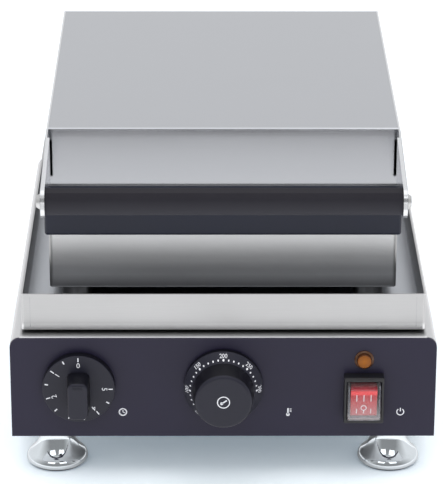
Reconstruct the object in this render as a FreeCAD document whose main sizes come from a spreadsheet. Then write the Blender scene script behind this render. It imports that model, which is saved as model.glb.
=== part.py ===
# Waffle cone maker for a table top, in millimetres: +Z up, the control panel faces -Y, +X to the user's right.
# The origin is on the floor, under the middle of the whole object.
import FreeCAD
import Part
import Sketcher
import os
from types import SimpleNamespace

doc = FreeCAD.newDocument("waffle_cone_maker")

# Driving dimensions
SIZES = {
    # Base box and its feet
    "base_height": 78.6,
    "base_sheet": 1.5,
    "base_corner_radius": 7.0,
    "base_flange": 12.0,
    "base_rear_margin": 1.5,
    "panel_thickness": 2.0,
    "panel_flange": 14.0,
    "panel_drop": 0.4,
    "base_lip_radius": 3.5,
    "base_lip_height": 6.5,
    "cover_thickness": 1.5,
    "cover_screw_diameter": 4.0,
    "cover_screw_head": 7.5,
    "cover_screw_head_height": 2.4,
    "cover_screw_length": 8.0,
    "vent_slot_count": 6,
    "vent_slot_length": 46.0,
    "vent_slot_height": 3.6,
    "vent_slot_pitch": 8.0,
    "vent_group_offset": 62.0,
    "foot_height": 35.0,
    "foot_floor_diameter": 41.0,
    "foot_rim_diameter": 46.0,
    "foot_rim_bottom": 2.4,
    "foot_rim_top": 6.2,
    "foot_flare_top": 16.3,
    "foot_neck_diameter": 23.0,
    "foot_flare_radius": 25.0,
    "foot_shoulder_radius": 6.5,
    "foot_rim_radius": 1.8,
    "foot_side_inset": 31.2,
    "foot_end_inset": 32.6,
    "stud_diameter": 8.0,
    "stud_in_foot": 20.0,
    "foot_nut_height": 6.5,
    "foot_nut_across": 13.0,
    # Drip tray and the posts that stand in it
    "tray_side_margin": 8.3,
    "tray_setback": 12.3,
    "tray_rear_gap": 3.0,
    "tray_gap": 1.6,
    "tray_wall_height": 28.0,
    "tray_sheet": 1.2,
    "tray_corner_radius": 2.0,
    "gutter_width": 18.5,
    "post_diameter": 22.0,
    "post_side_inset": 19.4,
    "post_end_inset": 17.0,
    "post_bolt_diameter": 6.0,
    "post_bolt_head": 10.0,
    "post_bolt_head_height": 4.0,
    "sleeve_diameter": 14.0,
    "sleeve_bore": 11.0,
    "sleeve_offset": 50.0,
    # Lower casing and the two baking plates
    "casing_width": 256.4,
    "casing_depth": 279.0,
    "casing_setback": 58.0,
    "casing_stand": 15.0,
    "casing_height": 42.8,
    "casing_sheet": 1.5,
    "casing_edge_radius": 1.8,
    "casing_flange": 12.0,
    "plate_overhang": 3.0,
    "plate_height": 20.0,
    "upper_plate_height": 18.6,
    "plates_gap": 0.4,
    "plate_edge_radius": 2.4,
    "plate_ledge_radius": 0.8,
    "cavity_diameter": 206.0,
    "cavity_depth": 1.2,
    "overflow_inside": 214.0,
    "overflow_width": 5.0,
    "overflow_depth": 2.0,
    "plate_bolt_diameter": 5.0,
    "plate_bolt_head": 8.5,
    "plate_bolt_head_height": 3.5,
    "plate_bolt_depth": 10.0,
    "plate_bolt_side": 90.0,
    "heater_ring_diameter": 156.0,
    "heater_tube_diameter": 8.0,
    "heater_tail_diameter": 6.0,
    "heater_tail_spacing": 20.0,
    "heater_tail_length": 30.0,
    "clamp_thickness": 3.0,
    "clamp_rim": 14.0,
    "clamp_screw_inset": 6.0,
    "insulation_gap": 0.5,
    "bulb_diameter": 6.0,
    "bulb_length": 80.0,
    "capillary_diameter": 2.0,
    "capillary_bend": 12.0,
    # Lid, ears, handle and hinge
    "lid_lip": 0.05,
    "lid_height": 44.1,
    "lid_sheet": 1.5,
    "lid_bend_radius": 1.6,
    "lid_flange": 12.0,
    "lid_side_thickness": 1.4,
    "lid_side_edge_radius": 0.9,
    "lid_notch_width": 2.6,
    "lid_notch_height": 28.0,
    "ear_fold_thickness": 1.7,
    "ear_fold_start": 14.0,
    "lid_notch_bottom": 7.2,
    "lug_shoulder": 18.0,
    "ear_end_radius": 11.0,
    "ear_half_height": 9.8,
    "ear_corner_radius": 9.0,
    "handle_forward": 24.0,
    "handle_rise": 19.35,
    "handle_depth": 18.0,
    "handle_height": 16.5,
    "handle_corner_radius": 5.0,
    "handle_shoulder": 0.2,
    "handle_shoulder_diameter": 12.0,
    "handle_screw_diameter": 5.0,
    "handle_screw_length": 22.0,
    "handle_screw_head": 12.0,
    "handle_screw_crown": 8.0,
    "handle_screw_head_height": 3.0,
    "hinge_clear": 3.5,
    "hinge_eye_radius": 10.0,
    "hinge_eye_corner": 9.0,
    "hinge_pin_diameter": 8.0,
    "hinge_pin_head": 13.0,
    "hinge_pin_head_height": 2.5,
    "hinge_pin_tail": 4.0,
    "hinge_clip_thickness": 1.2,
    "bracket_thickness": 3.0,
    "bracket_inward": 20.0,
    "bracket_stop_clear": 1.0,
    "bracket_stop_drop": 10.0,
    "bracket_screw_diameter": 5.0,
    "bracket_screw_head": 8.0,
    "bracket_screw_head_height": 2.8,
    "bracket_screw_length": 10.0,
    # Controls on the front panel
    "dial_drop": 37.1,
    "knob_gap": 0.6,
    "shaft_diameter": 6.0,
    "shaft_in_body": 18.0,
    "shaft_in_knob": 14.0,
    "bush_diameter": 10.0,
    "timer_inset": 49.8,
    "timer_disc_diameter": 52.9,
    "timer_disc_front": 7.4,
    "timer_disc_edge": 0.8,
    "timer_grip_width": 16.6,
    "timer_grip_rise": 13.2,
    "timer_grip_drop": 17.6,
    "timer_grip_height": 17.8,
    "timer_grip_draft": 3.5,
    "timer_grip_corner": 4.5,
    "timer_grip_radius": 1.6,
    "timer_body_width": 46.0,
    "timer_body_height": 46.0,
    "timer_body_depth": 34.0,
    "thermostat_skirt_diameter": 57.7,
    "thermostat_skirt_rim": 4.6,
    "thermostat_cone_height": 6.9,
    "thermostat_cap_diameter": 45.0,
    "thermostat_cap_front_diameter": 41.4,
    "thermostat_cap_height": 18.2,
    "thermostat_cap_radius": 2.6,
    "thermostat_body_width": 38.0,
    "thermostat_body_height": 44.0,
    "thermostat_body_depth": 30.0,
    "switch_inset": 52.6,
    "lamp_drop": 16.9,
    "lamp_body_diameter": 10.0,
    "lamp_body_length": 28.0,
    "lamp_bezel_diameter": 14.2,
    "lamp_bezel_height": 1.8,
    "lamp_bezel_edge": 1.0,
    "lamp_lens_diameter": 11.2,
    "lamp_lens_height": 2.6,
    "lamp_lens_radius": 1.6,
    "lamp_nut_diameter": 16.0,
    "lamp_nut_height": 3.0,
    "switch_drop": 46.0,
    "switch_frame_width": 29.0,
    "switch_frame_height": 36.5,
    "switch_frame_depth": 8.7,
    "switch_frame_side": 1.6,
    "switch_frame_end": 3.2,
    "switch_frame_radius": 1.0,
    "switch_hood_reach": 13.2,
    "switch_hood_wall": 0.8,
    "switch_hood_draft": 3.0,
    "switch_hood_radius": 1.8,
    "switch_hood_clearance": 0.25,
    "switch_bezel_thickness": 2.0,
    "switch_bezel_lip": 1.0,
    "switch_body_depth": 30.0,
    "rocker_width": 19.2,
    "rocker_height": 23.0,
    "rocker_reach": 8.0,
    "rocker_dish": 1.6,
    "rocker_back": 4.0,
    "rocker_pivot_depth": 2.0,
    "rocker_tilt": 10.0,
    "rocker_side_gap": 0.3,
    "rocker_end_gap": 0.9,
    "rocker_trunnion_diameter": 3.0,
    "rocker_trunnion_length": 0.6,
    # Electrical pieces in the base
    "gland_bore": 9.0,
    "gland_neck_diameter": 16.0,
    "gland_head_diameter": 21.0,
    "gland_projection": 9.0,
    "gland_collar_height": 5.0,
    "gland_nose_diameter": 16.0,
    "gland_thread_length": 11.0,
    "gland_nut_diameter": 23.0,
    "gland_nut_height": 5.0,
    "gland_side_inset": 48.0,
    "gland_rise": 26.0,
    "terminal_length": 60.0,
    "terminal_width": 22.0,
    "terminal_height": 20.0,
    "terminal_setback": 150.0,
    # Clearances
    "fit": 0.1,
    "hole_clearance": 0.2,
    "running_clearance": 0.05,
    "swing_gap": 0.4,
}

sheet = doc.addObject("Spreadsheet::Sheet", "dims")
for row, (alias, number) in enumerate(SIZES.items(), start=1):
    sheet.set(f"A{row}", alias)
    sheet.set(f"B{row}", str(number))
    sheet.setAlias(f"B{row}", alias)
doc.recompute()


class Size:
    """A dimension that knows its number and the sheet formula that gives it."""

    def __init__(self, value, formula):
        self.value = float(value)
        self.formula = formula

    def __add__(self, other):
        other = as_size(other)
        return Size(self.value + other.value, f"({self.formula} + {other.formula})")

    def __sub__(self, other):
        other = as_size(other)
        return Size(self.value - other.value, f"({self.formula} - {other.formula})")

    def __mul__(self, other):
        other = as_size(other)
        return Size(self.value * other.value, f"({self.formula} * {other.formula})")

    def __truediv__(self, other):
        other = as_size(other)
        return Size(self.value / other.value, f"({self.formula} / {other.formula})")

    def __neg__(self):
        return self * -1

    __radd__ = __add__
    __rmul__ = __mul__


def as_size(number):
    """A plain number as a Size, so that both can stand in one formula."""
    return number if isinstance(number, Size) else Size(number, f"({float(number)})")


d = SimpleNamespace(**{alias: Size(number, f"dims.{alias}") for alias, number in SIZES.items()})
ZERO = as_size(0)

# Widths, from the lower casing outwards
tray_width = d.casing_width + 2 * d.gutter_width
base_width = tray_width + 2 * d.tray_side_margin
plate_width = d.casing_width + 2 * d.plate_overhang
lid_width = d.casing_width + 2 * d.lid_lip
lid_side_inner = lid_width / 2 - d.lid_side_thickness
ear_inner = lid_side_inner - d.ear_fold_thickness
bracket_inner = lid_width / 2 + d.swing_gap
bracket_outer = bracket_inner + d.bracket_thickness
post_x = d.casing_width / 2 - d.post_side_inset

# Heights, from the floor up
base_bottom = d.foot_height
base_top = base_bottom + d.base_height
base_ceiling = base_top - d.base_sheet
tray_bottom = base_top + d.tray_gap
tray_floor = tray_bottom + d.tray_sheet
casing_bottom = base_top + d.casing_stand
casing_floor = casing_bottom + d.casing_sheet
casing_top = casing_bottom + d.casing_height
lower_plate_top = casing_top + d.plate_height
upper_plate_bottom = lower_plate_top + d.plates_gap
lid_bottom = upper_plate_bottom + d.upper_plate_height
lid_top = lid_bottom + d.lid_height
hinge_z = lower_plate_top + d.plates_gap / 2
handle_z = lid_bottom + d.handle_rise
dial_z = base_top - d.dial_drop
lamp_z = base_top - d.lamp_drop
switch_z = base_top - d.switch_drop
gland_z = base_bottom + d.gland_rise

# Depths, counted back from the panel's front face, then set so that the whole object is centred on the origin
plate_back = d.casing_setback + d.casing_depth + d.plate_overhang
hinge_back = plate_back + d.hinge_clear + d.hinge_eye_radius
bracket_stop_back = hinge_back + d.hinge_eye_radius + d.bracket_stop_clear
base_depth = bracket_stop_back + d.bracket_thickness + d.base_rear_margin
handle_reach = d.handle_forward + d.ear_end_radius
front = (handle_reach - base_depth - d.gland_projection) / 2
base_rear = front + base_depth
panel_back = front + d.panel_thickness
rear_panel_front = base_rear - d.panel_thickness
tray_front = front + d.tray_setback
tray_rear = front + hinge_back - d.hinge_eye_radius - d.tray_rear_gap
casing_front = front + d.casing_setback
casing_rear = casing_front + d.casing_depth
casing_middle = casing_front + d.casing_depth / 2
plate_front = casing_front - d.plate_overhang
plate_rear = front + plate_back
hinge_y = front + hinge_back
handle_y = front - d.handle_forward
sleeve_y = casing_middle - d.sleeve_offset

# Places that come in sets
timer_x = d.timer_inset - base_width / 2
switch_x = base_width / 2 - d.switch_inset
gland_x = base_width / 2 - d.gland_side_inset
foot_x = base_width / 2 - d.foot_side_inset
foot_rows = {"front": front + d.foot_end_inset, "rear": base_rear - d.foot_end_inset}
post_rows = {"front": casing_front + d.post_end_inset, "rear": casing_rear - d.post_end_inset}
SIDES = {"left": -1, "right": 1}
bracket_screw_x = bracket_inner - d.bracket_inward / 2
bracket_screw_rows = [hinge_y - d.hinge_eye_radius / 2, hinge_y + d.hinge_eye_radius / 2]
clamp_screw_radius = d.heater_ring_diameter / 2 + d.clamp_rim - d.clamp_screw_inset
clamp_screw_places = [(clamp_screw_radius, ZERO), (-clamp_screw_radius, ZERO),
                      (ZERO, clamp_screw_radius), (ZERO, -clamp_screw_radius)]
plate_bolt_rows = [casing_front + d.casing_sheet + d.casing_flange / 2,
                   casing_rear - d.casing_sheet - d.casing_flange / 2]

# Turns that carry a piece's own Z axis onto another direction
X_AXIS = FreeCAD.Vector(1, 0, 0)
Y_AXIS = FreeCAD.Vector(0, 1, 0)
TURNS = {
    "z": FreeCAD.Rotation(),
    "-z": FreeCAD.Rotation(X_AXIS, 180),
    "y": FreeCAD.Rotation(X_AXIS, -90),
    "-y": FreeCAD.Rotation(X_AXIS, 90),
    "x": FreeCAD.Rotation(Y_AXIS, 90),
    "-x": FreeCAD.Rotation(Y_AXIS, -90),
}
MATCH = 1e-4
nodes = []


def bind(feature, prop, size):
    feature.setExpression(prop, as_size(size).formula)


def place(feature, x, y, z, along="z"):
    feature.Placement = FreeCAD.Placement(FreeCAD.Vector(), TURNS[along])
    for letter, size in (("x", x), ("y", y), ("z", z)):
        bind(feature, f"Placement.Base.{letter}", size)
    return feature


def node(feature, label):
    feature.Label = label
    nodes.append(feature)
    return feature


def box(name, xs, ys, zs):
    """A block between two coordinates on each axis."""
    block = doc.addObject("Part::Box", name)
    for prop, (low, high) in (("Length", xs), ("Width", ys), ("Height", zs)):
        bind(block, prop, as_size(high) - low)
    return place(block, xs[0], ys[0], zs[0])


def centred(middle, width):
    return (as_size(middle) - width / 2, as_size(middle) + width / 2)


def mirrored(sign, low, high):
    """A span of X on the right, or its mirror image on the left."""
    return (low, high) if sign > 0 else (-high, -low)


def rod(name, along, radius, start, length):
    cylinder = doc.addObject("Part::Cylinder", name)
    bind(cylinder, "Radius", radius)
    bind(cylinder, "Height", length)
    return place(cylinder, *start, along=along)


def cone(name, along, start_radius, end_radius, start, length):
    taper = doc.addObject("Part::Cone", name)
    bind(taper, "Radius1", start_radius)
    bind(taper, "Radius2", end_radius)
    bind(taper, "Height", length)
    return place(taper, *start, along=along)


def fuse(name, *pieces):
    joined = doc.addObject("Part::MultiFuse", name)
    joined.Shapes = list(pieces)
    return joined


def cut(name, base, *tools):
    result = doc.addObject("Part::Cut", name)
    result.Base = base
    result.Tool = tools[0] if len(tools) == 1 else fuse(name + "_tools", *tools)
    return result


def group(name, pieces):
    """Equal pieces that share one node, each a solid of its own."""
    together = doc.addObject("Part::Compound", name)
    together.Links = list(pieces)
    return together


def new_body(name, x=ZERO, y=ZERO, z=ZERO, along="z"):
    return place(doc.addObject("PartDesign::Body", name), x, y, z, along)


def new_sketch(body, name, role):
    sketch = body.newObject("Sketcher::SketchObject", name)
    plane = [feature for feature in body.Origin.OriginFeatures if feature.Role == role][0]
    sketch.AttachmentSupport = (plane, [""])
    sketch.MapMode = "FlatFace"
    return sketch


def constrain(sketch, kind, size, *where):
    size = as_size(size)
    index = sketch.addConstraint(Sketcher.Constraint(kind, *where, size.value))
    bind(sketch, f"Constraints[{index}]", size)


def outline(body, name, role, *loops):
    """A sketch of closed loops of straight lines, each corner tied to the sheet."""
    sketch = new_sketch(body, name, role)
    for loop in loops:
        corners = [FreeCAD.Vector(as_size(u).value, as_size(v).value, 0) for u, v in loop]
        first = sketch.GeometryCount
        lines = [first + step for step in range(len(loop))]
        for start, end in zip(corners, corners[1:] + corners[:1]):
            sketch.addGeometry(Part.LineSegment(start, end), False)
        for line, following in zip(lines, lines[1:] + lines[:1]):
            sketch.addConstraint(Sketcher.Constraint("Coincident", line, 2, following, 1))
        for line, (u, v) in zip(lines, loop):
            constrain(sketch, "DistanceX", u, -1, 1, line, 1)
            constrain(sketch, "DistanceY", v, -1, 1, line, 1)
    return sketch


def rectangle(us, vs):
    return [(us[0], vs[0]), (us[1], vs[0]), (us[1], vs[1]), (us[0], vs[1])]


def pad(body, sketch, length, symmetric=False, reversed_way=False, draft=None):
    feature = body.newObject("PartDesign::Pad", sketch.Name + "_pad")
    feature.Profile = sketch
    feature.SideType = "Symmetric" if symmetric else "One side"
    feature.Reversed = reversed_way
    bind(feature, "Length", length)
    if draft is not None:
        bind(feature, "TaperAngle", -draft)
    return feature


def revolve(body, sketch):
    feature = body.newObject("PartDesign::Revolution", sketch.Name + "_turned")
    feature.Profile = sketch
    feature.ReferenceAxis = (sketch, ["V_Axis"])
    feature.Angle = 360
    return feature


def turned(name, profile, x, y, z, along="z"):
    """A turned piece: its profile holds (radius, height) corners, its own Z axis is the axis of the lathe."""
    body = new_body(name, x, y, z, along)
    revolve(body, outline(body, name + "_profile", "XZ_Plane", profile))
    return body


def along_axis(edge, axis):
    direction = edge.tangentAt(edge.FirstParameter)
    return edge.Curve.TypeId == "Part::GeomLine" and abs(abs(direction.dot(axis)) - 1) < MATCH


def at(point, x=None, y=None, z=None):
    wanted = ((point.x, x), (point.y, y), (point.z, z))
    return all(size is None or abs(have - as_size(size).value) < MATCH for have, size in wanted)


def circle_at(edge, radius, height):
    """True for a full circular edge of a turned piece."""
    if edge.Curve.TypeId != "Part::GeomCircle":
        return False
    same_radius = abs(edge.Curve.Radius - as_size(radius).value) < MATCH
    return same_radius and abs(edge.Curve.Center.z - as_size(height).value) < MATCH


def round_edges(body, radius, wanted):
    """Round the edges of the body's last feature that the test picks out."""
    doc.recompute()
    base = body.Tip
    names = [f"Edge{number}" for number, edge in enumerate(base.Shape.Edges, start=1) if wanted(edge)]
    fillet = body.newObject("PartDesign::Fillet", body.Name + "_round")
    fillet.Base = (base, names)
    bind(fillet, "Radius", radius)
    return fillet


def hollow(body, wall, open_face):
    """Turn the body into a shell that is open at the face the test picks out."""
    doc.recompute()
    base = body.Tip
    names = [f"Face{number}" for number, face in enumerate(base.Shape.Faces, start=1) if open_face(face)]
    shell = body.newObject("PartDesign::Thickness", body.Name + "_shell")
    shell.Base = (base, names)
    shell.Mode = "Skin"
    shell.Join = "Intersection"
    shell.Reversed = True
    bind(shell, "Value", wall)
    return shell


Z_AXIS = FreeCAD.Vector(0, 0, 1)


def screw(name, along, start, shank_radius, shank_length, head_radius, crown_radius, head_height):
    """A screw whose head sits on the start point: the shank runs along, the crowned head stands behind."""
    opposite = along[1:] if along.startswith("-") else "-" + along
    shank = rod(name + "_shank", along, shank_radius, start, shank_length)
    head = cone(name + "_head", opposite, head_radius, crown_radius, start, head_height)
    return fuse(name, shank, head)


def hexagon_nut(name, along, across, bore_radius, start, height):
    prism = doc.addObject("Part::Prism", name + "_hexagon")
    prism.Polygon = 6
    bind(prism, "Circumradius", across / 1.7320508)
    bind(prism, "Height", height)
    place(prism, *start, along=along)
    return cut(name, prism, rod(name + "_bore", along, bore_radius, start, height))


# Base casing: one folded sheet, with inward flanges that carry the bottom cover and a lip behind the front panel
def make_base_casing():
    half = base_width / 2
    inner = half - d.base_sheet
    lip = inner - d.base_flange
    lip_bottom = d.cover_thickness
    lip_top = lip_bottom + d.base_sheet
    ceiling = d.base_height - d.base_sheet
    right = [(half, d.base_height), (half, ZERO), (inner, ZERO), (inner, lip_bottom), (lip, lip_bottom),
             (lip, lip_top), (inner, lip_top), (inner, ceiling)]
    left = [(-x, z) for x, z in reversed(right)]
    body = new_body("base_fold", ZERO, panel_back, base_bottom)
    profile = outline(body, "base_fold_profile", "XZ_Plane", right + left)
    pad(body, profile, rear_panel_front - panel_back, reversed_way=True)
    round_edges(body, d.base_corner_radius, lambda edge: along_axis(edge, Y_AXIS) and any(
        at(edge.CenterOfMass, x=sign * half, z=d.base_height) for sign in SIDES.values()))
    round_edges(body, d.base_corner_radius - d.base_sheet, lambda edge: along_axis(edge, Y_AXIS) and any(
        at(edge.CenterOfMass, x=sign * inner, z=ceiling) for sign in SIDES.values()))
    lip_half = half - d.base_corner_radius
    lip_depth = d.base_lip_radius + d.base_sheet
    holes = [
        rod("base_sleeve_hole", "z", d.sleeve_bore / 2, (ZERO, sleeve_y, base_ceiling), d.base_sheet),
        box("base_lip_room", (-lip_half, lip_half), (panel_back, panel_back + lip_depth), (base_ceiling, base_top)),
    ]
    for sign in SIDES.values():
        for row, y in post_rows.items():
            holes.append(rod("base_post_hole", "z", d.post_bolt_diameter / 2 + d.hole_clearance,
                             (sign * post_x, y, base_ceiling), d.base_sheet))
        for y in bracket_screw_rows:
            holes.append(rod("base_bracket_hole", "z", d.bracket_screw_diameter / 2 + d.hole_clearance,
                             (sign * bracket_screw_x, y, base_ceiling), d.base_sheet))
        for x, y in cover_screw_places(sign):
            holes.append(rod("base_cover_hole", "z", d.cover_screw_diameter / 2 + d.hole_clearance,
                             (x, y, base_bottom + d.cover_thickness), d.base_sheet))
    lip = base_front_lip(lip_half, lip_depth)
    node(fuse("base_casing_joined", cut("base_casing_cut", body, *holes), lip), "base_casing")


def base_front_lip(half, depth):
    """The front end of the casing's top, bent down with a soft round behind the panel."""
    sheet = d.base_sheet
    bottom = -d.base_lip_height
    points = [(ZERO, bottom), (ZERO, ZERO), (depth, ZERO), (depth, -sheet), (sheet, -sheet), (sheet, bottom)]
    body = new_body("base_lip", ZERO, panel_back, base_top)
    pad(body, outline(body, "base_lip_profile", "YZ_Plane", points), 2 * half, symmetric=True)
    for offset, radius in ((ZERO, d.base_lip_radius), (sheet, d.base_lip_radius - sheet)):
        round_edges(body, radius, lambda edge: along_axis(edge, X_AXIS) and at(
            edge.CenterOfMass, y=offset, z=-offset))
    return body


def cover_screw_places(sign):
    """Screws through the bottom cover into the side flange: near each end and in the middle."""
    x = sign * (base_width / 2 - d.base_sheet - d.base_flange / 2)
    clear_of_foot = d.foot_rim_diameter / 2 + d.cover_screw_head
    first = foot_rows["front"] + clear_of_foot
    last = foot_rows["rear"] - clear_of_foot
    return [(x, first), (x, (first + last) / 2), (x, last)]


def panel_plate(name, y, height):
    """An end panel of the base: a plate as wide as the casing, with the casing's rounded upper corners."""
    half = base_width / 2
    body = new_body(name, ZERO, y, base_bottom)
    profile = outline(body, name + "_profile", "XZ_Plane", rectangle((-half, half), (ZERO, height)))
    pad(body, profile, d.panel_thickness, reversed_way=True)
    round_edges(body, d.base_corner_radius, lambda edge: along_axis(edge, Y_AXIS) and any(
        at(edge.CenterOfMass, x=sign * half, z=height) for sign in SIDES.values()))
    return body


def panel_flange(name, ys):
    """The panel's bottom flange, folded inwards over the bottom cover."""
    half = base_width / 2 - d.base_sheet - d.base_flange - d.fit
    bottom = base_bottom + d.cover_thickness
    return box(name, (-half, half), ys, (bottom, bottom + d.panel_thickness))


# Front control panel, cut for the two dials, the lamp and the switch
def make_front_panel():
    plate = panel_plate("front_plate", front, d.base_height - d.panel_drop)
    flange = panel_flange("front_flange", (panel_back, panel_back + d.panel_flange))
    bush_radius = d.bush_diameter / 2 + d.fit
    opening_width, opening_height = switch_body_size()
    holes = [
        rod("timer_hole", "y", bush_radius, (timer_x, front, dial_z), d.panel_thickness),
        rod("thermostat_hole", "y", bush_radius, (ZERO, front, dial_z), d.panel_thickness),
        rod("lamp_hole", "y", d.lamp_body_diameter / 2 + d.fit, (switch_x, front, lamp_z), d.panel_thickness),
        box("switch_hole", centred(switch_x, opening_width + 2 * d.fit), (front, panel_back),
            centred(switch_z, opening_height + 2 * d.fit)),
    ]
    node(cut("front_panel_cut", fuse("front_panel_blank", plate, flange), *holes), "front_panel")


# Rear panel with two groups of vent slots and the hole for the cable gland
def make_rear_panel():
    plate = panel_plate("rear_plate", rear_panel_front, d.base_height)
    flange = panel_flange("rear_flange", (rear_panel_front - d.panel_flange, rear_panel_front))
    holes = [rod("gland_hole", "y", d.gland_neck_diameter / 2 + d.fit,
                 (gland_x, rear_panel_front, gland_z), d.panel_thickness)]
    middle = base_bottom + d.base_height / 2
    count = int(d.vent_slot_count.value)
    for group_x in (-d.vent_group_offset, ZERO):
        for step in range(count):
            z = middle + d.vent_slot_pitch * (step - (count - 1) / 2)
            holes.append(box("vent_slot", centred(group_x, d.vent_slot_length), (rear_panel_front, base_rear),
                             centred(z, d.vent_slot_height)))
    node(cut("rear_panel_cut", fuse("rear_panel_blank", plate, flange), *holes), "rear_panel")


# Bottom cover, held to the flanges by pan-head screws from below
def make_bottom_cover():
    half = base_width / 2 - d.base_sheet - d.fit
    zs = (base_bottom, base_bottom + d.cover_thickness)
    plate = box("cover_plate", (-half, half), (panel_back + d.fit, rear_panel_front - d.fit), zs)
    holes = []
    screws = []
    for side, sign in SIDES.items():
        for row, y in foot_rows.items():
            holes.append(rod("cover_stud_hole", "z", d.stud_diameter / 2 + d.hole_clearance,
                             (sign * foot_x, y, base_bottom), d.cover_thickness))
        for x, y in cover_screw_places(sign):
            holes.append(rod("cover_screw_hole", "z", d.cover_screw_diameter / 2 + d.hole_clearance,
                             (x, y, base_bottom), d.cover_thickness))
            screws.append(screw("cover_screw", "z", (x, y, base_bottom), d.cover_screw_diameter / 2,
                                d.cover_screw_length, d.cover_screw_head / 2, d.cover_screw_diameter / 2,
                                d.cover_screw_head_height))
    count = int(d.vent_slot_count.value)
    middle = (panel_back + rear_panel_front) / 2
    for step in range(count):
        y = middle + 2 * d.vent_slot_pitch * (step - (count - 1) / 2)
        holes.append(box("cover_slot", centred(-d.vent_group_offset, d.vent_slot_length),
                         centred(y, d.vent_slot_height), zs))
    node(cut("bottom_cover_cut", plate, *holes), "bottom_cover")
    node(group("cover_screw_set", screws), "cover_screws")


# Bell-shaped feet, each on a stud with a nut inside the base
def make_feet():
    floor = d.foot_floor_diameter / 2
    rim = d.foot_rim_diameter / 2
    neck = d.foot_neck_diameter / 2
    bore = d.stud_diameter / 2 + d.running_clearance
    bore_bottom = d.foot_height - d.stud_in_foot
    profile = [(ZERO, ZERO), (floor, ZERO), (rim, d.foot_rim_bottom), (rim, d.foot_rim_top),
               (neck, d.foot_flare_top), (neck, d.foot_height), (bore, d.foot_height), (bore, bore_bottom),
               (ZERO, bore_bottom)]
    stud_length = d.stud_in_foot + d.cover_thickness + d.foot_nut_height
    nut_bottom = base_bottom + d.cover_thickness
    studs = []
    nuts = []
    for row, y in foot_rows.items():
        for side, sign in SIDES.items():
            body = turned(f"foot_{row}_{side}_bell", profile, sign * foot_x, y, ZERO)
            round_edges(body, d.foot_flare_radius, lambda edge: circle_at(edge, neck, d.foot_flare_top))
            round_edges(body, d.foot_shoulder_radius, lambda edge: circle_at(edge, rim, d.foot_rim_top))
            round_edges(body, d.foot_rim_radius, lambda edge: circle_at(edge, rim, d.foot_rim_bottom))
            node(body, f"foot_{row}_{side}")
            studs.append(rod("foot_stud", "z", d.stud_diameter / 2, (sign * foot_x, y, bore_bottom), stud_length))
            nuts.append(hexagon_nut("foot_nut", "z", d.foot_nut_across,
                                    d.stud_diameter / 2 + d.running_clearance,
                                    (sign * foot_x, y, nut_bottom), d.foot_nut_height))
    node(group("foot_stud_set", studs), "foot_studs")
    node(group("foot_nut_set", nuts), "foot_nuts")


# Drip tray: a shallow pan with rounded corners, on spacers above the base
def make_drip_tray():
    half = tray_width / 2
    depth = tray_rear - tray_front
    body = new_body("tray_pan", ZERO, tray_front, tray_bottom)
    profile = outline(body, "tray_outline", "XY_Plane", rectangle((-half, half), (ZERO, depth)))
    pad(body, profile, d.tray_wall_height)
    round_edges(body, d.tray_corner_radius, lambda edge: along_axis(edge, Z_AXIS))
    hollow(body, d.tray_sheet, lambda face: at(face.CenterOfMass, z=d.tray_wall_height))
    holes = [rod("tray_sleeve_hole", "z", d.sleeve_diameter / 2 + d.fit,
                 (ZERO, sleeve_y, tray_bottom), d.tray_sheet)]
    spacers = []
    for sign in SIDES.values():
        for y in post_rows.values():
            hole_radius = d.post_bolt_diameter / 2 + d.hole_clearance
            holes.append(rod("tray_post_hole", "z", hole_radius, (sign * post_x, y, tray_bottom), d.tray_sheet))
            spacers.append(tube("tray_spacer", "z", d.post_diameter / 2, hole_radius,
                                (sign * post_x, y, base_top), d.tray_gap))
    node(cut("drip_tray_cut", body, *holes), "drip_tray")
    node(group("tray_spacer_set", spacers), "tray_spacers")


def tube(name, along, outer, inner, start, length):
    return cut(name, rod(name + "_outside", along, outer, start, length),
               rod(name + "_bore", along, inner, start, length))


# Posts that carry the lower casing, their bolts, and the sleeve that leads the wires up
def make_posts():
    shank = d.post_bolt_diameter / 2
    bolts = []
    bolt_start = base_ceiling
    for row, y in post_rows.items():
        for side, sign in SIDES.items():
            x = sign * post_x
            post = tube(f"post_{row}_{side}_tube", "z", d.post_diameter / 2, shank + d.hole_clearance,
                        (x, y, tray_floor), casing_bottom - tray_floor)
            node(post, f"post_{row}_{side}")
            bolt = screw("post_bolt_body", "z", (x, y, bolt_start), shank,
                         casing_floor - bolt_start + d.post_bolt_head_height,
                         d.post_bolt_head / 2, d.post_bolt_head / 2, d.post_bolt_head_height)
            nut = rod("post_bolt_nut", "z", d.post_bolt_head / 2, (x, y, casing_floor), d.post_bolt_head_height)
            bolts.append(fuse("post_bolt", bolt, nut))
    node(group("post_bolt_set", bolts), "post_bolts")
    sleeve = tube("wire_sleeve_tube", "z", d.sleeve_diameter / 2, d.sleeve_bore / 2,
                  (ZERO, sleeve_y, base_top), casing_bottom - base_top)
    node(sleeve, "wire_sleeve")


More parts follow.
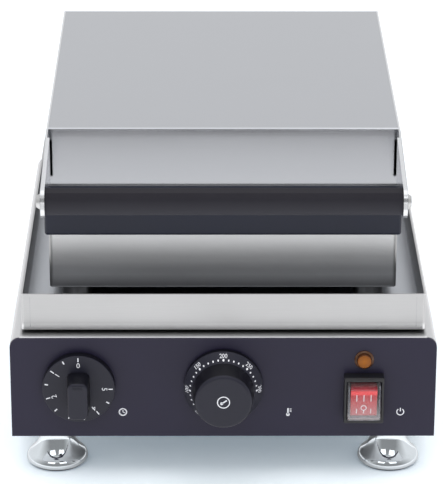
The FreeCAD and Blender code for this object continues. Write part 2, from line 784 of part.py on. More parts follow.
# Lower casing: an open box with softly rounded edges and two flanges that carry the plate
def make_lower_casing():
    half = d.casing_width / 2
    body = new_body("casing_box", ZERO, casing_front, casing_bottom)
    profile = outline(body, "casing_outline", "XY_Plane", rectangle((-half, half), (ZERO, d.casing_depth)))
    pad(body, profile, d.casing_height)
    round_edges(body, d.casing_edge_radius, lambda edge: at(edge.CenterOfMass, z=0)
                or along_axis(edge, Z_AXIS))
    hollow(body, d.casing_sheet, lambda face: at(face.CenterOfMass, z=d.casing_height))
    inner = half - d.casing_edge_radius
    zs = (casing_top - d.casing_sheet, casing_top)
    flanges = [
        box("casing_front_flange", (-inner, inner),
            (casing_front + d.casing_sheet / 2, casing_front + d.casing_sheet + d.casing_flange), zs),
        box("casing_rear_flange", (-inner, inner),
            (casing_rear - d.casing_sheet - d.casing_flange, casing_rear - d.casing_sheet / 2), zs),
    ]
    holes = [rod("casing_sleeve_hole", "z", d.sleeve_bore / 2, (ZERO, sleeve_y, casing_bottom), d.casing_sheet)]
    for sign in SIDES.values():
        for y in post_rows.values():
            holes.append(rod("casing_post_hole", "z", d.post_bolt_diameter / 2 + d.hole_clearance,
                             (sign * post_x, y, casing_bottom), d.casing_sheet))
        for y in plate_bolt_rows:
            holes.append(rod("casing_bolt_hole", "z", d.plate_bolt_diameter / 2 + d.hole_clearance,
                             (sign * d.plate_bolt_side, y, zs[0]), d.casing_sheet))
    node(cut("lower_casing_cut", fuse("casing_blank", body, *flanges), *holes), "lower_casing")


def plate_bolt_set(name, along, seat):
    """Bolts from a casing flange into its plate."""
    bolts = []
    for sign in SIDES.values():
        for y in plate_bolt_rows:
            bolts.append(screw(name, along, (sign * d.plate_bolt_side, y, seat), d.plate_bolt_diameter / 2,
                               d.casing_sheet + d.plate_bolt_depth, d.plate_bolt_head / 2,
                               d.plate_bolt_head / 2, d.plate_bolt_head_height))
    return group(name + "_set", bolts)


def heater_solid(name, z, clearance=ZERO):
    """A round heating tube with its two thinner connection tails towards the rear, or the groove for it."""
    ring = doc.addObject("Part::Torus", name + "_ring")
    bind(ring, "Radius1", d.heater_ring_diameter / 2)
    bind(ring, "Radius2", d.heater_tube_diameter / 2 + clearance)
    place(ring, ZERO, casing_middle, z)
    tail_start = casing_middle + d.heater_ring_diameter / 2 - d.heater_tube_diameter / 4
    tails = [rod(name + "_tail", "y", d.heater_tail_diameter / 2 + clearance,
                 (sign * d.heater_tail_spacing / 2, tail_start, z), d.heater_tail_length + clearance)
             for sign in SIDES.values()]
    return fuse(name, ring, *tails)


def baking_plate(name, zs, face, back, inward, back_radius):
    """A cast plate: a round baking cavity with an overflow groove on its face, a heater groove on its back."""
    half = plate_width / 2
    body = new_body(name + "_block", ZERO, plate_front, zs[0])
    height = zs[1] - zs[0]
    profile = outline(body, name + "_outline", "XY_Plane",
                      rectangle((-half, half), (ZERO, plate_rear - plate_front)))
    pad(body, profile, height)
    back_height = ZERO if inward > 0 else height
    round_edges(body, d.plate_edge_radius, lambda edge: along_axis(edge, Z_AXIS))
    round_edges(body, back_radius, lambda edge: at(edge.CenterOfMass, z=back_height))
    down = "-z" if inward > 0 else "z"
    up = "z" if inward > 0 else "-z"
    middle = (ZERO, casing_middle, face)
    overflow = tube(name + "_overflow", down, d.overflow_inside / 2 + d.overflow_width,
                    d.overflow_inside / 2, middle, d.overflow_depth)
    cuts = [
        rod(name + "_cavity", down, d.cavity_diameter / 2, middle, d.cavity_depth),
        overflow,
        heater_solid(name + "_groove", back, d.hole_clearance),
    ]
    for x, y in clamp_screw_places:
        cuts.append(rod(name + "_clamp_hole", up, d.plate_bolt_diameter / 2 + d.fit,
                        (x, casing_middle + y, back), d.plate_bolt_depth + d.fit))
    for sign in SIDES.values():
        for y in plate_bolt_rows:
            cuts.append(rod(name + "_bolt_hole", up, d.plate_bolt_diameter / 2 + d.fit,
                            (sign * d.plate_bolt_side, y, back), d.plate_bolt_depth + d.fit))
    return body, cuts


def clamp_disc(name, near, along):
    """The disc that presses the heating tube into its groove, with its screws."""
    radius = d.heater_ring_diameter / 2 + d.clamp_rim
    disc = rod(name + "_disc", along, radius, (ZERO, casing_middle, near), d.clamp_thickness)
    holes = [rod(name + "_centre", along, d.sleeve_bore / 2, (ZERO, sleeve_y, near), d.clamp_thickness)]
    screws = []
    opposite = along[1:] if along.startswith("-") else "-" + along
    sign = 1 if along == "z" else -1
    head_seat = near + sign * d.clamp_thickness
    shank_length = d.clamp_thickness + d.heater_tube_diameter / 2 + d.running_clearance + d.plate_bolt_depth
    for x, y in clamp_screw_places:
        start = (x, casing_middle + y, near)
        holes.append(rod(name + "_hole", along, d.plate_bolt_diameter / 2 + d.hole_clearance, start,
                         d.clamp_thickness))
        screws.append(screw(name + "_screw", opposite, (x, casing_middle + y, head_seat),
                            d.plate_bolt_diameter / 2, shank_length, d.plate_bolt_head / 2,
                            d.plate_bolt_head / 2, d.plate_bolt_head_height))
    return cut(name, disc, *holes), group(name + "_screw_set", screws)


# Lower plate and what heats it
def make_lower_plate():
    body, cuts = baking_plate("lower_plate", (casing_top, lower_plate_top), lower_plate_top, casing_top, 1,
                              d.plate_edge_radius)
    cuts.append(rod("bulb_groove", "y", d.bulb_diameter / 2 + d.hole_clearance,
                    (ZERO, sleeve_y, casing_top), d.capillary_bend + d.bulb_length + d.hole_clearance))
    node(cut("lower_plate_cut", body, *cuts), "lower_plate")
    node(plate_bolt_set("lower_plate_bolt", "z", casing_top - d.casing_sheet), "lower_plate_bolts")
    node(heater_solid("lower_heater_tube", casing_top), "lower_heater")
    near = casing_top - d.heater_tube_diameter / 2 - d.running_clearance
    disc, screws = clamp_disc("lower_clamp_disc", near, "-z")
    node(disc, "lower_heater_clamp")
    node(screws, "lower_clamp_screws")
    clamp_end = near - d.clamp_thickness - d.plate_bolt_head_height
    block = box("lower_insulation_block", insulation_width(), insulation_depth(),
                (casing_floor, clamp_end - d.insulation_gap))
    wire_way = rod("insulation_wire_way", "z", d.sleeve_bore / 2, (ZERO, sleeve_y, casing_floor),
                   clamp_end - casing_floor)
    node(cut("lower_insulation_cut", block, wire_way), "lower_insulation")


def insulation_width():
    half = post_x - d.post_bolt_head
    return (-half, half)


def insulation_depth():
    return (post_rows["front"] + d.post_bolt_head, post_rows["rear"] - d.post_bolt_head)


# Upper plate and what heats it, the mirror image of the lower one
def make_upper_plate():
    body, cuts = baking_plate("upper_plate", (upper_plate_bottom, lid_bottom), upper_plate_bottom, lid_bottom, -1,
                              d.plate_ledge_radius)
    node(cut("upper_plate_cut", body, *cuts), "upper_plate")
    node(plate_bolt_set("upper_plate_bolt", "-z", lid_bottom + d.lid_sheet), "upper_plate_bolts")
    node(heater_solid("upper_heater_tube", lid_bottom), "upper_heater")
    near = lid_bottom + d.heater_tube_diameter / 2 + d.running_clearance
    disc, screws = clamp_disc("upper_clamp_disc", near, "z")
    node(disc, "upper_heater_clamp")
    node(screws, "upper_clamp_screws")
    clamp_end = near + d.clamp_thickness + d.plate_bolt_head_height
    block = box("upper_insulation_block", insulation_width(), insulation_depth(),
                (clamp_end + d.insulation_gap, lid_top - d.lid_sheet))
    node(block, "upper_insulation")


# Thermostat bulb under the lower plate, with its capillary down the sleeve to the thermostat
def make_thermostat_bulb():
    start = FreeCAD.Vector(0, (panel_back + d.thermostat_body_depth).value, dial_z.value)
    bend = d.capillary_bend.value
    riser_y = sleeve_y.value
    bulb_z = casing_top.value
    half = bend * (1 - 0.5 ** 0.5)
    low_in = FreeCAD.Vector(0, riser_y - bend, start.z)
    low_mid = FreeCAD.Vector(0, riser_y - half, start.z + half)
    low_out = FreeCAD.Vector(0, riser_y, start.z + bend)
    high_in = FreeCAD.Vector(0, riser_y, bulb_z - bend)
    high_mid = FreeCAD.Vector(0, riser_y + half, bulb_z - half)
    high_out = FreeCAD.Vector(0, riser_y + bend, bulb_z)
    path = Part.Wire([
        Part.LineSegment(start, low_in).toShape(),
        Part.Arc(low_in, low_mid, low_out).toShape(),
        Part.LineSegment(low_out, high_in).toShape(),
        Part.Arc(high_in, high_mid, high_out).toShape(),
    ])
    section = Part.Wire(Part.makeCircle(d.capillary_diameter.value / 2, start, Y_AXIS))
    capillary = path.makePipeShell([section], True, False)
    bulb = Part.makeCylinder(d.bulb_diameter.value / 2, d.bulb_length.value, high_out, Y_AXIS)
    feature = doc.addObject("Part::Feature", "bulb_and_capillary")
    feature.Shape = capillary.fuse(bulb)
    feature.Placement = FreeCAD.Placement()
    node(feature, "thermostat_bulb")


# Lid casing: one sheet folded over front, top and rear, with a notch at each end of its front
def make_lid_casing():
    depth = d.casing_depth
    wall = d.lid_sheet
    height = d.lid_height
    flange = d.lid_sheet + d.lid_flange
    points = [(ZERO, ZERO), (ZERO, height), (depth, height), (depth, ZERO), (depth - flange, ZERO),
              (depth - flange, wall), (depth - wall, wall), (depth - wall, height - wall),
              (wall, height - wall), (wall, wall), (flange, wall), (flange, ZERO)]
    body = new_body("lid_fold", ZERO, casing_front, lid_bottom)
    pad(body, outline(body, "lid_fold_profile", "YZ_Plane", points), 2 * lid_side_inner, symmetric=True)
    round_edges(body, d.lid_bend_radius, lambda edge: along_axis(edge, X_AXIS) and any(
        at(edge.CenterOfMass, y=y, z=height) for y in (ZERO, depth)))
    cuts = []
    for sign in SIDES.values():
        bottom = lid_bottom + d.lid_notch_bottom
        cuts.append(box("lid_notch", mirrored(sign, lid_side_inner - d.lid_notch_width, lid_side_inner),
                        (casing_front, casing_front + wall), (bottom, bottom + d.lid_notch_height)))
        for y in plate_bolt_rows:
            cuts.append(rod("lid_bolt_hole", "z", d.plate_bolt_diameter / 2 + d.hole_clearance,
                            (sign * d.plate_bolt_side, y, lid_bottom), wall))
    node(cut("lid_casing_cut", body, *cuts), "lid_casing")


# Lid side plates: each reaches forward as an ear, folded back on its inside, and back as a hinge lug
def make_lid_sides():
    ear_front = handle_y - d.ear_end_radius - casing_front
    ear_top = d.handle_rise + d.ear_half_height
    ear_bottom = d.handle_rise - d.ear_half_height
    lug_front = hinge_y - d.hinge_eye_radius - casing_front
    lug_rear = hinge_y + d.hinge_eye_radius - casing_front
    lug_bottom = hinge_z - d.hinge_eye_radius - lid_bottom
    lug_top = hinge_z + d.hinge_eye_radius - lid_bottom
    points = [(ZERO, ZERO), (lug_front, ZERO), (lug_front, lug_bottom), (lug_rear, lug_bottom),
              (lug_rear, lug_top), (d.casing_depth, d.lug_shoulder), (d.casing_depth, d.lid_height),
              (ZERO, d.lid_height), (ear_front, ear_top), (ear_front, ear_bottom)]
    for side, sign in SIDES.items():
        inner = mirrored(sign, lid_side_inner, lid_width / 2)[0]
        fold_inner, fold_outer = mirrored(sign, ear_inner, lid_side_inner)
        body = new_body(f"lid_{side}_plate", inner, casing_front, lid_bottom)
        fold = new_body(f"ear_{side}_fold", fold_inner, casing_front, lid_bottom)
        for layer, thickness in ((body, d.lid_side_thickness), (fold, d.ear_fold_thickness)):
            pad(layer, outline(layer, layer.Label + "_profile", "YZ_Plane", points), thickness)
            round_edges(layer, d.ear_corner_radius, lambda edge: along_axis(edge, X_AXIS) and any(
                at(edge.CenterOfMass, y=ear_front, z=z) for z in (ear_top, ear_bottom)))
        behind = box(f"ear_{side}_behind", (fold_inner, fold_outer),
                     (casing_front - d.ear_fold_start, casing_front + lug_rear),
                     (lid_bottom + lug_bottom, lid_bottom + d.lid_height))
        outside = d.lid_side_thickness if sign > 0 else ZERO
        round_edges(body, d.lid_side_edge_radius, lambda edge: along_axis(edge, Y_AXIS) and at(
            edge.CenterOfMass, x=outside, z=d.lid_height))
        round_edges(body, d.hinge_eye_corner, lambda edge: along_axis(edge, X_AXIS) and any(
            at(edge.CenterOfMass, y=y, z=z) for y, z in
            ((lug_front, lug_bottom), (lug_rear, lug_bottom), (lug_rear, lug_top))))
        holes = [
            rod(f"lid_{side}_screw_hole", "x", d.handle_screw_diameter / 2 + d.hole_clearance,
                (mirrored(sign, ear_inner, lid_width / 2)[0], handle_y, handle_z),
                d.lid_side_thickness + d.ear_fold_thickness),
            rod(f"lid_{side}_pin_hole", "x", d.hinge_pin_diameter / 2 + d.running_clearance,
                (inner, hinge_y, hinge_z), d.lid_side_thickness),
        ]
        plate = fuse(f"lid_{side}_folded", body, cut(f"ear_{side}_fold_front", fold, behind))
        node(cut(f"lid_{side}_cut", plate, *holes), f"lid_side_{side}")


# Handle bar between the ears, a shoulder at each end, and its two screws
def make_handle():
    half_depth = d.handle_depth / 2
    half_height = d.handle_height / 2
    body = new_body("handle_bar", ZERO, handle_y, handle_z)
    profile = outline(body, "handle_profile", "YZ_Plane",
                      rectangle((-half_depth, half_depth), (-half_height, half_height)))
    half_length = ear_inner - d.fit
    pad(body, profile, 2 * (half_length - d.handle_shoulder), symmetric=True)
    round_edges(body, d.handle_corner_radius, lambda edge: along_axis(edge, X_AXIS))
    shoulders = rod("handle_shoulders", "x", d.handle_shoulder_diameter / 2, (-half_length, handle_y, handle_z),
                    2 * half_length)
    screws = []
    holes = []
    shank = d.handle_screw_diameter / 2
    for side, sign in SIDES.items():
        inwards = "-x" if sign > 0 else "x"
        start = (sign * lid_width / 2, handle_y, handle_z)
        screws.append(screw("handle_screw", inwards, start, shank, d.handle_screw_length,
                            d.handle_screw_head / 2, d.handle_screw_crown / 2, d.handle_screw_head_height))
        holes.append(rod("handle_screw_hole", inwards, shank + d.fit, start, d.handle_screw_length + d.fit))
    node(cut("handle_cut", fuse("handle_blank", body, shoulders), *holes), "handle")
    node(group("handle_screw_set", screws), "handle_screws")


# Hinge brackets: a side wall with the pin, a foot on the base and a rear wall that stops the open lid
def make_hinge():
    front_edge = hinge_y - d.hinge_eye_radius
    stop = front + bracket_stop_back
    rear_edge = stop + d.bracket_thickness
    stop_top = hinge_z - d.bracket_stop_drop
    pin_radius = d.hinge_pin_diameter / 2
    pins = []
    clips = []
    screws = []
    for side, sign in SIDES.items():
        wall_xs = mirrored(sign, bracket_inner, bracket_outer)
        inward_xs = mirrored(sign, bracket_inner - d.bracket_inward, bracket_inner)
        outwards = "x" if sign > 0 else "-x"
        inwards = "-x" if sign > 0 else "x"
        outer = (sign * bracket_outer, hinge_y, hinge_z)
        blank = fuse(
            f"bracket_{side}_blank",
            box(f"bracket_{side}_wall", wall_xs, (front_edge, hinge_y + d.hinge_eye_radius),
                (base_top, hinge_z)),
            rod(f"bracket_{side}_eye", inwards, d.hinge_eye_radius, outer, d.bracket_thickness),
            box(f"bracket_{side}_corner", wall_xs, (hinge_y, rear_edge), (base_top, stop_top)),
            box(f"bracket_{side}_stop", inward_xs, (stop, rear_edge), (base_top, stop_top)),
            box(f"bracket_{side}_foot", inward_xs, (front_edge, stop),
                (base_top, base_top + d.bracket_thickness)),
        )
        holes = [rod(f"bracket_{side}_pin_hole", inwards, pin_radius + d.running_clearance, outer,
                     d.bracket_thickness)]
        for y in bracket_screw_rows:
            seat = (sign * bracket_screw_x, y, base_top + d.bracket_thickness)
            holes.append(rod("bracket_screw_hole", "-z", d.bracket_screw_diameter / 2 + d.hole_clearance,
                             seat, d.bracket_thickness))
            screws.append(screw("bracket_screw", "-z", seat, d.bracket_screw_diameter / 2,
                                d.bracket_screw_length, d.bracket_screw_head / 2,
                                d.bracket_screw_diameter / 2, d.bracket_screw_head_height))
        node(cut(f"bracket_{side}_cut", blank, *holes), f"hinge_bracket_{side}")
        clip_face = sign * (lid_side_inner - d.swing_gap)
        pin_length = bracket_outer - lid_side_inner + d.swing_gap + d.hinge_clip_thickness + d.hinge_pin_tail
        pins.append(screw("hinge_pin", inwards, outer, pin_radius, pin_length, d.hinge_pin_head / 2,
                          d.hinge_pin_head / 2 - d.hinge_clip_thickness, d.hinge_pin_head_height))
        clips.append(tube("hinge_clip", inwards, d.hinge_pin_head / 2, pin_radius + d.running_clearance,
                          (clip_face, hinge_y, hinge_z), d.hinge_clip_thickness))
    node(group("hinge_pin_set", pins), "hinge_pins")
    node(group("hinge_clip_set", clips), "hinge_clips")
    node(group("bracket_screw_set", screws), "hinge_bracket_screws")


def control_body(name, x, width, height, depth):
    """The works behind a dial: a box with a threaded bush through the panel and a bore for its shaft."""
    works = box(name + "_box", centred(x, width), (panel_back, panel_back + depth), centred(dial_z, height))
    bush = rod(name + "_bush", "y", d.bush_diameter / 2, (x, front + d.fit, dial_z), d.panel_thickness)
    bore = rod(name + "_bore", "y", d.shaft_diameter / 2 + d.running_clearance, (x, front, dial_z),
               d.panel_thickness + d.shaft_in_body + d.hole_clearance)
    return cut(name + "_cut", fuse(name + "_blank", works, bush), bore)


def dial_shaft(name, x):
    length = d.panel_thickness + d.shaft_in_body + d.shaft_in_knob
    return rod(name + "_rod", "-y", d.shaft_diameter / 2, (x, panel_back + d.shaft_in_body, dial_z), length)


# Timer: a flat dial with a grip bar across it, on the shaft of a clockwork
def make_timer():
    node(control_body("timer", timer_x, d.timer_body_width, d.timer_body_height, d.timer_body_depth),
         "timer_body")
    node(dial_shaft("timer", timer_x), "timer_shaft")
    rim = d.timer_disc_diameter / 2
    bore = d.shaft_diameter / 2 + d.running_clearance
    bore_end = d.shaft_in_knob + d.fit
    disc_front = d.timer_disc_front
    grip_front = disc_front + d.timer_grip_height
    body = turned("timer_dial", [(ZERO, d.knob_gap), (rim, d.knob_gap), (rim, disc_front), (ZERO, disc_front)],
                  timer_x, front, dial_z, "-y")
    round_edges(body, d.timer_disc_edge, lambda edge: circle_at(edge, rim, disc_front))
    grip = outline(body, "timer_grip", "XY_Plane",
                   rectangle(centred(ZERO, d.timer_grip_width), (-d.timer_grip_drop, d.timer_grip_rise)))
    bind(grip, "AttachmentOffset.Base.z", disc_front)
    pad(body, grip, d.timer_grip_height, draft=d.timer_grip_draft)
    round_edges(body, d.timer_grip_corner, lambda edge: disc_front.value + MATCH < edge.CenterOfMass.z
                < grip_front.value - MATCH)
    round_edges(body, d.timer_grip_radius, lambda edge: edge.CenterOfMass.z > grip_front.value - MATCH)
    hole = rod("timer_knob_bore", "-y", bore, (timer_x, front, dial_z), bore_end)
    node(cut("timer_knob_cut", body, hole), "timer_knob")


# Thermostat: a round cap on a sloping skirt
def make_thermostat():
    node(control_body("thermostat", ZERO, d.thermostat_body_width, d.thermostat_body_height,
                      d.thermostat_body_depth), "thermostat_body")
    node(dial_shaft("thermostat", ZERO), "thermostat_shaft")
    skirt = d.thermostat_skirt_diameter / 2
    cap_base = d.thermostat_cap_diameter / 2
    cap = d.thermostat_cap_front_diameter / 2
    cone_top = d.thermostat_skirt_rim + d.thermostat_cone_height
    cap_front = cone_top + d.thermostat_cap_height
    bore = d.shaft_diameter / 2 + d.running_clearance
    bore_end = d.shaft_in_knob + d.fit
    profile = [(bore, d.knob_gap), (skirt, d.knob_gap), (skirt, d.thermostat_skirt_rim), (cap_base, cone_top),
               (cap, cap_front), (ZERO, cap_front), (ZERO, bore_end), (bore, bore_end)]
    body = turned("thermostat_dial", profile, ZERO, front, dial_z, "-y")
    round_edges(body, d.thermostat_cap_radius, lambda edge: circle_at(edge, cap, cap_front))
    node(body, "thermostat_knob")


# Pilot lamp: housing with its bezel, amber lens, and the nut behind the panel
def make_lamp():
    radius = d.lamp_body_diameter / 2
    bezel = d.lamp_bezel_diameter / 2
    lens = d.lamp_lens_diameter / 2
    top = d.lamp_bezel_height
    housing = turned("lamp_holder", [(ZERO, -d.lamp_body_length), (radius, -d.lamp_body_length),
                                     (radius, ZERO), (bezel, ZERO), (bezel, top - d.lamp_bezel_edge),
                                     (bezel - d.lamp_bezel_edge, top), (ZERO, top)],
                     switch_x, front, lamp_z, "-y")
    node(housing, "lamp_housing")
    dome = turned("lamp_dome", [(ZERO, top), (lens, top), (lens, top + d.lamp_lens_height),
                                (ZERO, top + d.lamp_lens_height)], switch_x, front, lamp_z, "-y")
    round_edges(dome, d.lamp_lens_radius, lambda edge: circle_at(edge, lens, top + d.lamp_lens_height))
    node(dome, "lamp_lens")
    node(hexagon_nut("lamp_nut_hexagon", "y", d.lamp_nut_diameter, radius + d.running_clearance,
                     (switch_x, panel_back, lamp_z), d.lamp_nut_height), "lamp_nut")


def switch_hood_size():
    """Outside width and height of the clear hood at the panel."""
    width = d.switch_frame_width - 2 * d.switch_frame_side - 2 * d.fit
    height = d.switch_frame_height - 2 * d.switch_frame_end - 2 * d.fit
    return width, height


def switch_bezel_size():
    width, height = switch_hood_size()
    margin = 2 * d.switch_hood_wall + 2 * d.switch_hood_clearance
    return width - margin, height - margin


def switch_body_size():
    width, height = switch_bezel_size()
    return width - 2 * d.switch_bezel_lip, height - 2 * d.switch_bezel_lip


def hood_block(name, width, height, reach, radius):
    """A drafted block with rounded edges, its open end on the panel."""
    body = new_body(name, switch_x, front, switch_z, "-y")
    pad(body, outline(body, name + "_outline", "XY_Plane", rectangle(centred(ZERO, width), centred(ZERO, height))),
        reach, draft=d.switch_hood_draft)
    round_edges(body, radius, lambda edge: not at(edge.CenterOfMass, z=0))
    return body


# Rocker switch under a clear hood, in a black frame
def make_switch():
    frame = new_body("switch_surround", switch_x, front, switch_z, "-y")
    outer_loop = rectangle(centred(ZERO, d.switch_frame_width), centred(ZERO, d.switch_frame_height))
    inner_loop = rectangle(centred(ZERO, d.switch_frame_width - 2 * d.switch_frame_side),
                           centred(ZERO, d.switch_frame_height - 2 * d.switch_frame_end))
    pad(frame, outline(frame, "switch_surround_outline", "XY_Plane", outer_loop, inner_loop),
        d.switch_frame_depth)
    half = (d.switch_frame_width / 2, d.switch_frame_height / 2)
    round_edges(frame, d.switch_frame_radius, lambda edge: any(
        at(edge.CenterOfMass, x=sign * half[0]) or at(edge.CenterOfMass, y=sign * half[1])
        for sign in SIDES.values()) and not at(edge.CenterOfMass, z=0))
    node(frame, "switch_frame")

    hood_width, hood_height = switch_hood_size()
    wall = d.switch_hood_wall
    outside = hood_block("switch_hood_outside", hood_width, hood_height, d.switch_hood_reach, d.switch_hood_radius)
    inside = hood_block("switch_hood_inside", hood_width - 2 * wall, hood_height - 2 * wall,
                        d.switch_hood_reach - wall, d.switch_hood_radius - wall)
    hood = cut("switch_hood", outside, inside)
    node(hood, "switch_cover")

    bezel_width, bezel_height = switch_bezel_size()
    body_width, body_height = switch_body_size()
    cavity_back = panel_back + d.switch_body_depth / 2
    bezel_front = front - d.switch_bezel_thickness
    pivot_y = front + d.rocker_pivot_depth
    trunnion = d.rocker_trunnion_diameter / 2
    trunnion_span = d.rocker_width + 2 * d.rocker_trunnion_length
    blank = fuse("switch_blank",
                 box("switch_bezel", centred(switch_x, bezel_width), (bezel_front, front),
                     centred(switch_z, bezel_height)),
                 box("switch_works", centred(switch_x, body_width), (front, panel_back + d.switch_body_depth),
                     centred(switch_z, body_height)))
    cavity = box("switch_cavity", centred(switch_x, d.rocker_width + 2 * d.rocker_side_gap),
                 (bezel_front, cavity_back), centred(switch_z, d.rocker_height + 2 * d.rocker_end_gap))
    socket_span = trunnion_span + 2 * d.fit
    socket = rod("switch_pivot_socket", "x", trunnion + d.running_clearance,
                 (switch_x - socket_span / 2, pivot_y, switch_z), socket_span)
    node(cut("switch_housing_cut", blank, cavity, socket), "switch_housing")

    tip = -(d.rocker_reach + d.rocker_pivot_depth)
    half_height = d.rocker_height / 2
    rocker = new_body("rocker", switch_x, pivot_y, switch_z)
    pad(rocker, outline(rocker, "rocker_profile", "YZ_Plane",
                        [(tip, half_height), (tip + d.rocker_dish, ZERO), (tip, -half_height),
                         (d.rocker_back, -half_height), (d.rocker_back, half_height)]),
        d.rocker_width, symmetric=True)
    pivot = new_sketch(rocker, "rocker_pivot", "YZ_Plane")
    pivot.addGeometry(Part.Circle(FreeCAD.Vector(), Z_AXIS, trunnion.value), False)
    pivot.addConstraint(Sketcher.Constraint("Coincident", 0, 3, -1, 1))
    constrain(pivot, "Radius", trunnion, 0)
    pad(rocker, pivot, trunnion_span, symmetric=True)
    rocker.Placement.Rotation = FreeCAD.Rotation(X_AXIS, d.rocker_tilt.value)
    bind(rocker, "Placement.Rotation.Angle", d.rocker_tilt)
    node(rocker, "switch_rocker")


# Cable gland in the rear panel, its nut, and the terminal block on the bottom cover
def make_electrics():
    bore = d.gland_bore / 2
    neck = d.gland_neck_diameter / 2
    head = d.gland_head_diameter / 2
    nose = d.gland_nose_diameter / 2
    inside = -(d.panel_thickness + d.gland_thread_length)
    gland = turned("gland_turned", [(bore, inside), (neck, inside), (neck, ZERO), (head, ZERO),
                                    (head, d.gland_collar_height), (nose, d.gland_projection),
                                    (bore, d.gland_projection)], gland_x, base_rear, gland_z, "y")
    node(gland, "cable_gland")
    node(hexagon_nut("gland_nut_hexagon", "-y", d.gland_nut_diameter, neck + d.running_clearance,
                     (gland_x, rear_panel_front, gland_z), d.gland_nut_height), "gland_nut")
    bottom = base_bottom + d.cover_thickness
    middle = front + d.terminal_setback
    node(box("terminal_strip", centred(gland_x, d.terminal_length), centred(middle, d.terminal_width),
             (bottom, bottom + d.terminal_height)), "terminal_block")


make_base_casing()
make_front_panel()
make_rear_panel()
make_bottom_cover()
make_feet()
make_drip_tray()
make_posts()
make_lower_casing()
make_lower_plate()
make_upper_plate()
make_thermostat_bulb()
make_lid_casing()
make_lid_sides()
make_handle()
make_hinge()
make_timer()
make_thermostat()
make_lamp()
make_switch()
make_electrics()
doc.recompute()

# Check the document before anything is written
failed = [feature.Name for feature in doc.Objects if "Invalid" in feature.State or "Error" in feature.State]
if failed:
    raise RuntimeError("features that did not build: " + ", ".join(failed))
for piece in nodes:
    if piece.Shape.isNull() or not piece.Shape.isValid():
        raise RuntimeError("no valid solid in " + piece.Label)

os.makedirs("parts", exist_ok=True)
for piece in nodes:
    piece.Shape.exportStep(f"parts/{piece.Label}.step")
whole = Part.makeCompound([piece.Shape for piece in nodes]).BoundBox
print(f"{len(nodes)} pieces, {whole.XLength:.1f} x {whole.YLength:.1f} x {whole.ZLength:.1f} mm")
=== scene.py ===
# %% [markdown]
# # A waffle cone maker, dressed in Blender
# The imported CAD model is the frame: every sheet, plate, knob and screw is already a solid in its place, in
# metres. This lesson adds what a solid has no room for: the finishes, the printed scales and signs, the
# ribs and sockets of small fittings, and the lattice that prints a waffle. The control panel faces -Y, and
# +Z is up.

# %% Load the frame
import math
import bmesh
import bpy
from mathutils import Matrix, Vector
from mathutils.bvhtree import BVHTree


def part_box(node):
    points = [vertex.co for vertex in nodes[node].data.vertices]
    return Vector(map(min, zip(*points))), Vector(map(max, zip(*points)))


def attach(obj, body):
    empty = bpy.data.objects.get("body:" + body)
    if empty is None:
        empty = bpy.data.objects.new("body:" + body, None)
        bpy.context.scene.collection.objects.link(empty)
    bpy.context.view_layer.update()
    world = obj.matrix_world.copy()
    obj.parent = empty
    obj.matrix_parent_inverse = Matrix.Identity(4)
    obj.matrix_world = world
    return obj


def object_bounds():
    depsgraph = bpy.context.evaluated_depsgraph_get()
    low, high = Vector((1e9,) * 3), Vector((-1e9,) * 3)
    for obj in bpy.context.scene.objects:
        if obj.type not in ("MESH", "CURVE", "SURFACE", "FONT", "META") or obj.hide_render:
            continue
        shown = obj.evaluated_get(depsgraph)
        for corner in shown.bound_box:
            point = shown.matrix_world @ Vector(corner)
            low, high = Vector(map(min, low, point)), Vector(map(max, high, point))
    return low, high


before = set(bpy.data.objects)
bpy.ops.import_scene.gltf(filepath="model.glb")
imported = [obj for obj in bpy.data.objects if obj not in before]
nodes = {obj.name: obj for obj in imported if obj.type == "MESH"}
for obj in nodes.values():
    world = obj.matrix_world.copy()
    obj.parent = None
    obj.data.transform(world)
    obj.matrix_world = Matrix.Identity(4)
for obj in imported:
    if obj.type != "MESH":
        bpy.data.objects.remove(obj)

cad_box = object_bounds()
MM = 0.001


def middle_of(node):
    low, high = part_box(node)
    return (low + high) / 2


corners = [[round(part, 4) for part in corner] for corner in cad_box]
print(len(nodes), "solids in a box from", corners[0], "to", corners[1])

# %% [markdown]
# ## Camera
# The photograph looks down on the middle of the appliance from about two metres, through a long lens, from
# a place slightly to the left of the middle line. The lens is given for the long side of the picture, which
# is its height. A camera looks along its own -Z, so its place is a chain of turns: about the vertical,
# down, and then about its view.

# %% Camera at the photograph's viewing angle
CAMERA_PLACE = (-0.014, -1.9915, 0.9416)
CAMERA_TURNS = ((-0.415, "Z"), (90 - 22.46, "X"), (0.14, "Z"))
LENS_IN_PIXELS, PICTURE_HEIGHT_IN_PIXELS = 2760, 484
SENSOR_SIZE = 36.0
camera_lens = bpy.data.cameras.new("camera")
camera_lens.sensor_width = SENSOR_SIZE
camera_lens.lens = LENS_IN_PIXELS / PICTURE_HEIGHT_IN_PIXELS * SENSOR_SIZE
camera = bpy.data.objects.new("camera", camera_lens)
camera_matrix = Matrix.Translation(CAMERA_PLACE)
for angle, axis in CAMERA_TURNS:
    camera_matrix = camera_matrix @ Matrix.Rotation(math.radians(angle), 4, axis)
camera.matrix_world = camera_matrix
bpy.context.scene.collection.objects.link(camera)
bpy.context.scene.camera = camera
bpy.context.scene.view_settings.view_transform = "Standard"
print("lens", round(camera_lens.lens, 1), "mm")

# %% [markdown]
# ## Node helpers
# Shader and geometry trees are both graphs of nodes. One helper adds a node, sets its options and fills its
# inputs: an input that is a socket is linked, and any other value is set on the socket itself, where the
# export can read it. The others are short names for the nodes that come up again and again.

# %% Helpers for node trees
FLOAT, VECTOR = "NodeSocketFloat", "NodeSocketVector"


def add_node(tree, kind, inputs=None, **options):
    node = tree.nodes.new(kind)
    for option, value in options.items():
        setattr(node, option, value)
    for key, value in (inputs or {}).items():
        if isinstance(value, bpy.types.NodeSocket):
            tree.links.new(value, node.inputs[key])
        else:
            node.inputs[key].default_value = value
    return node


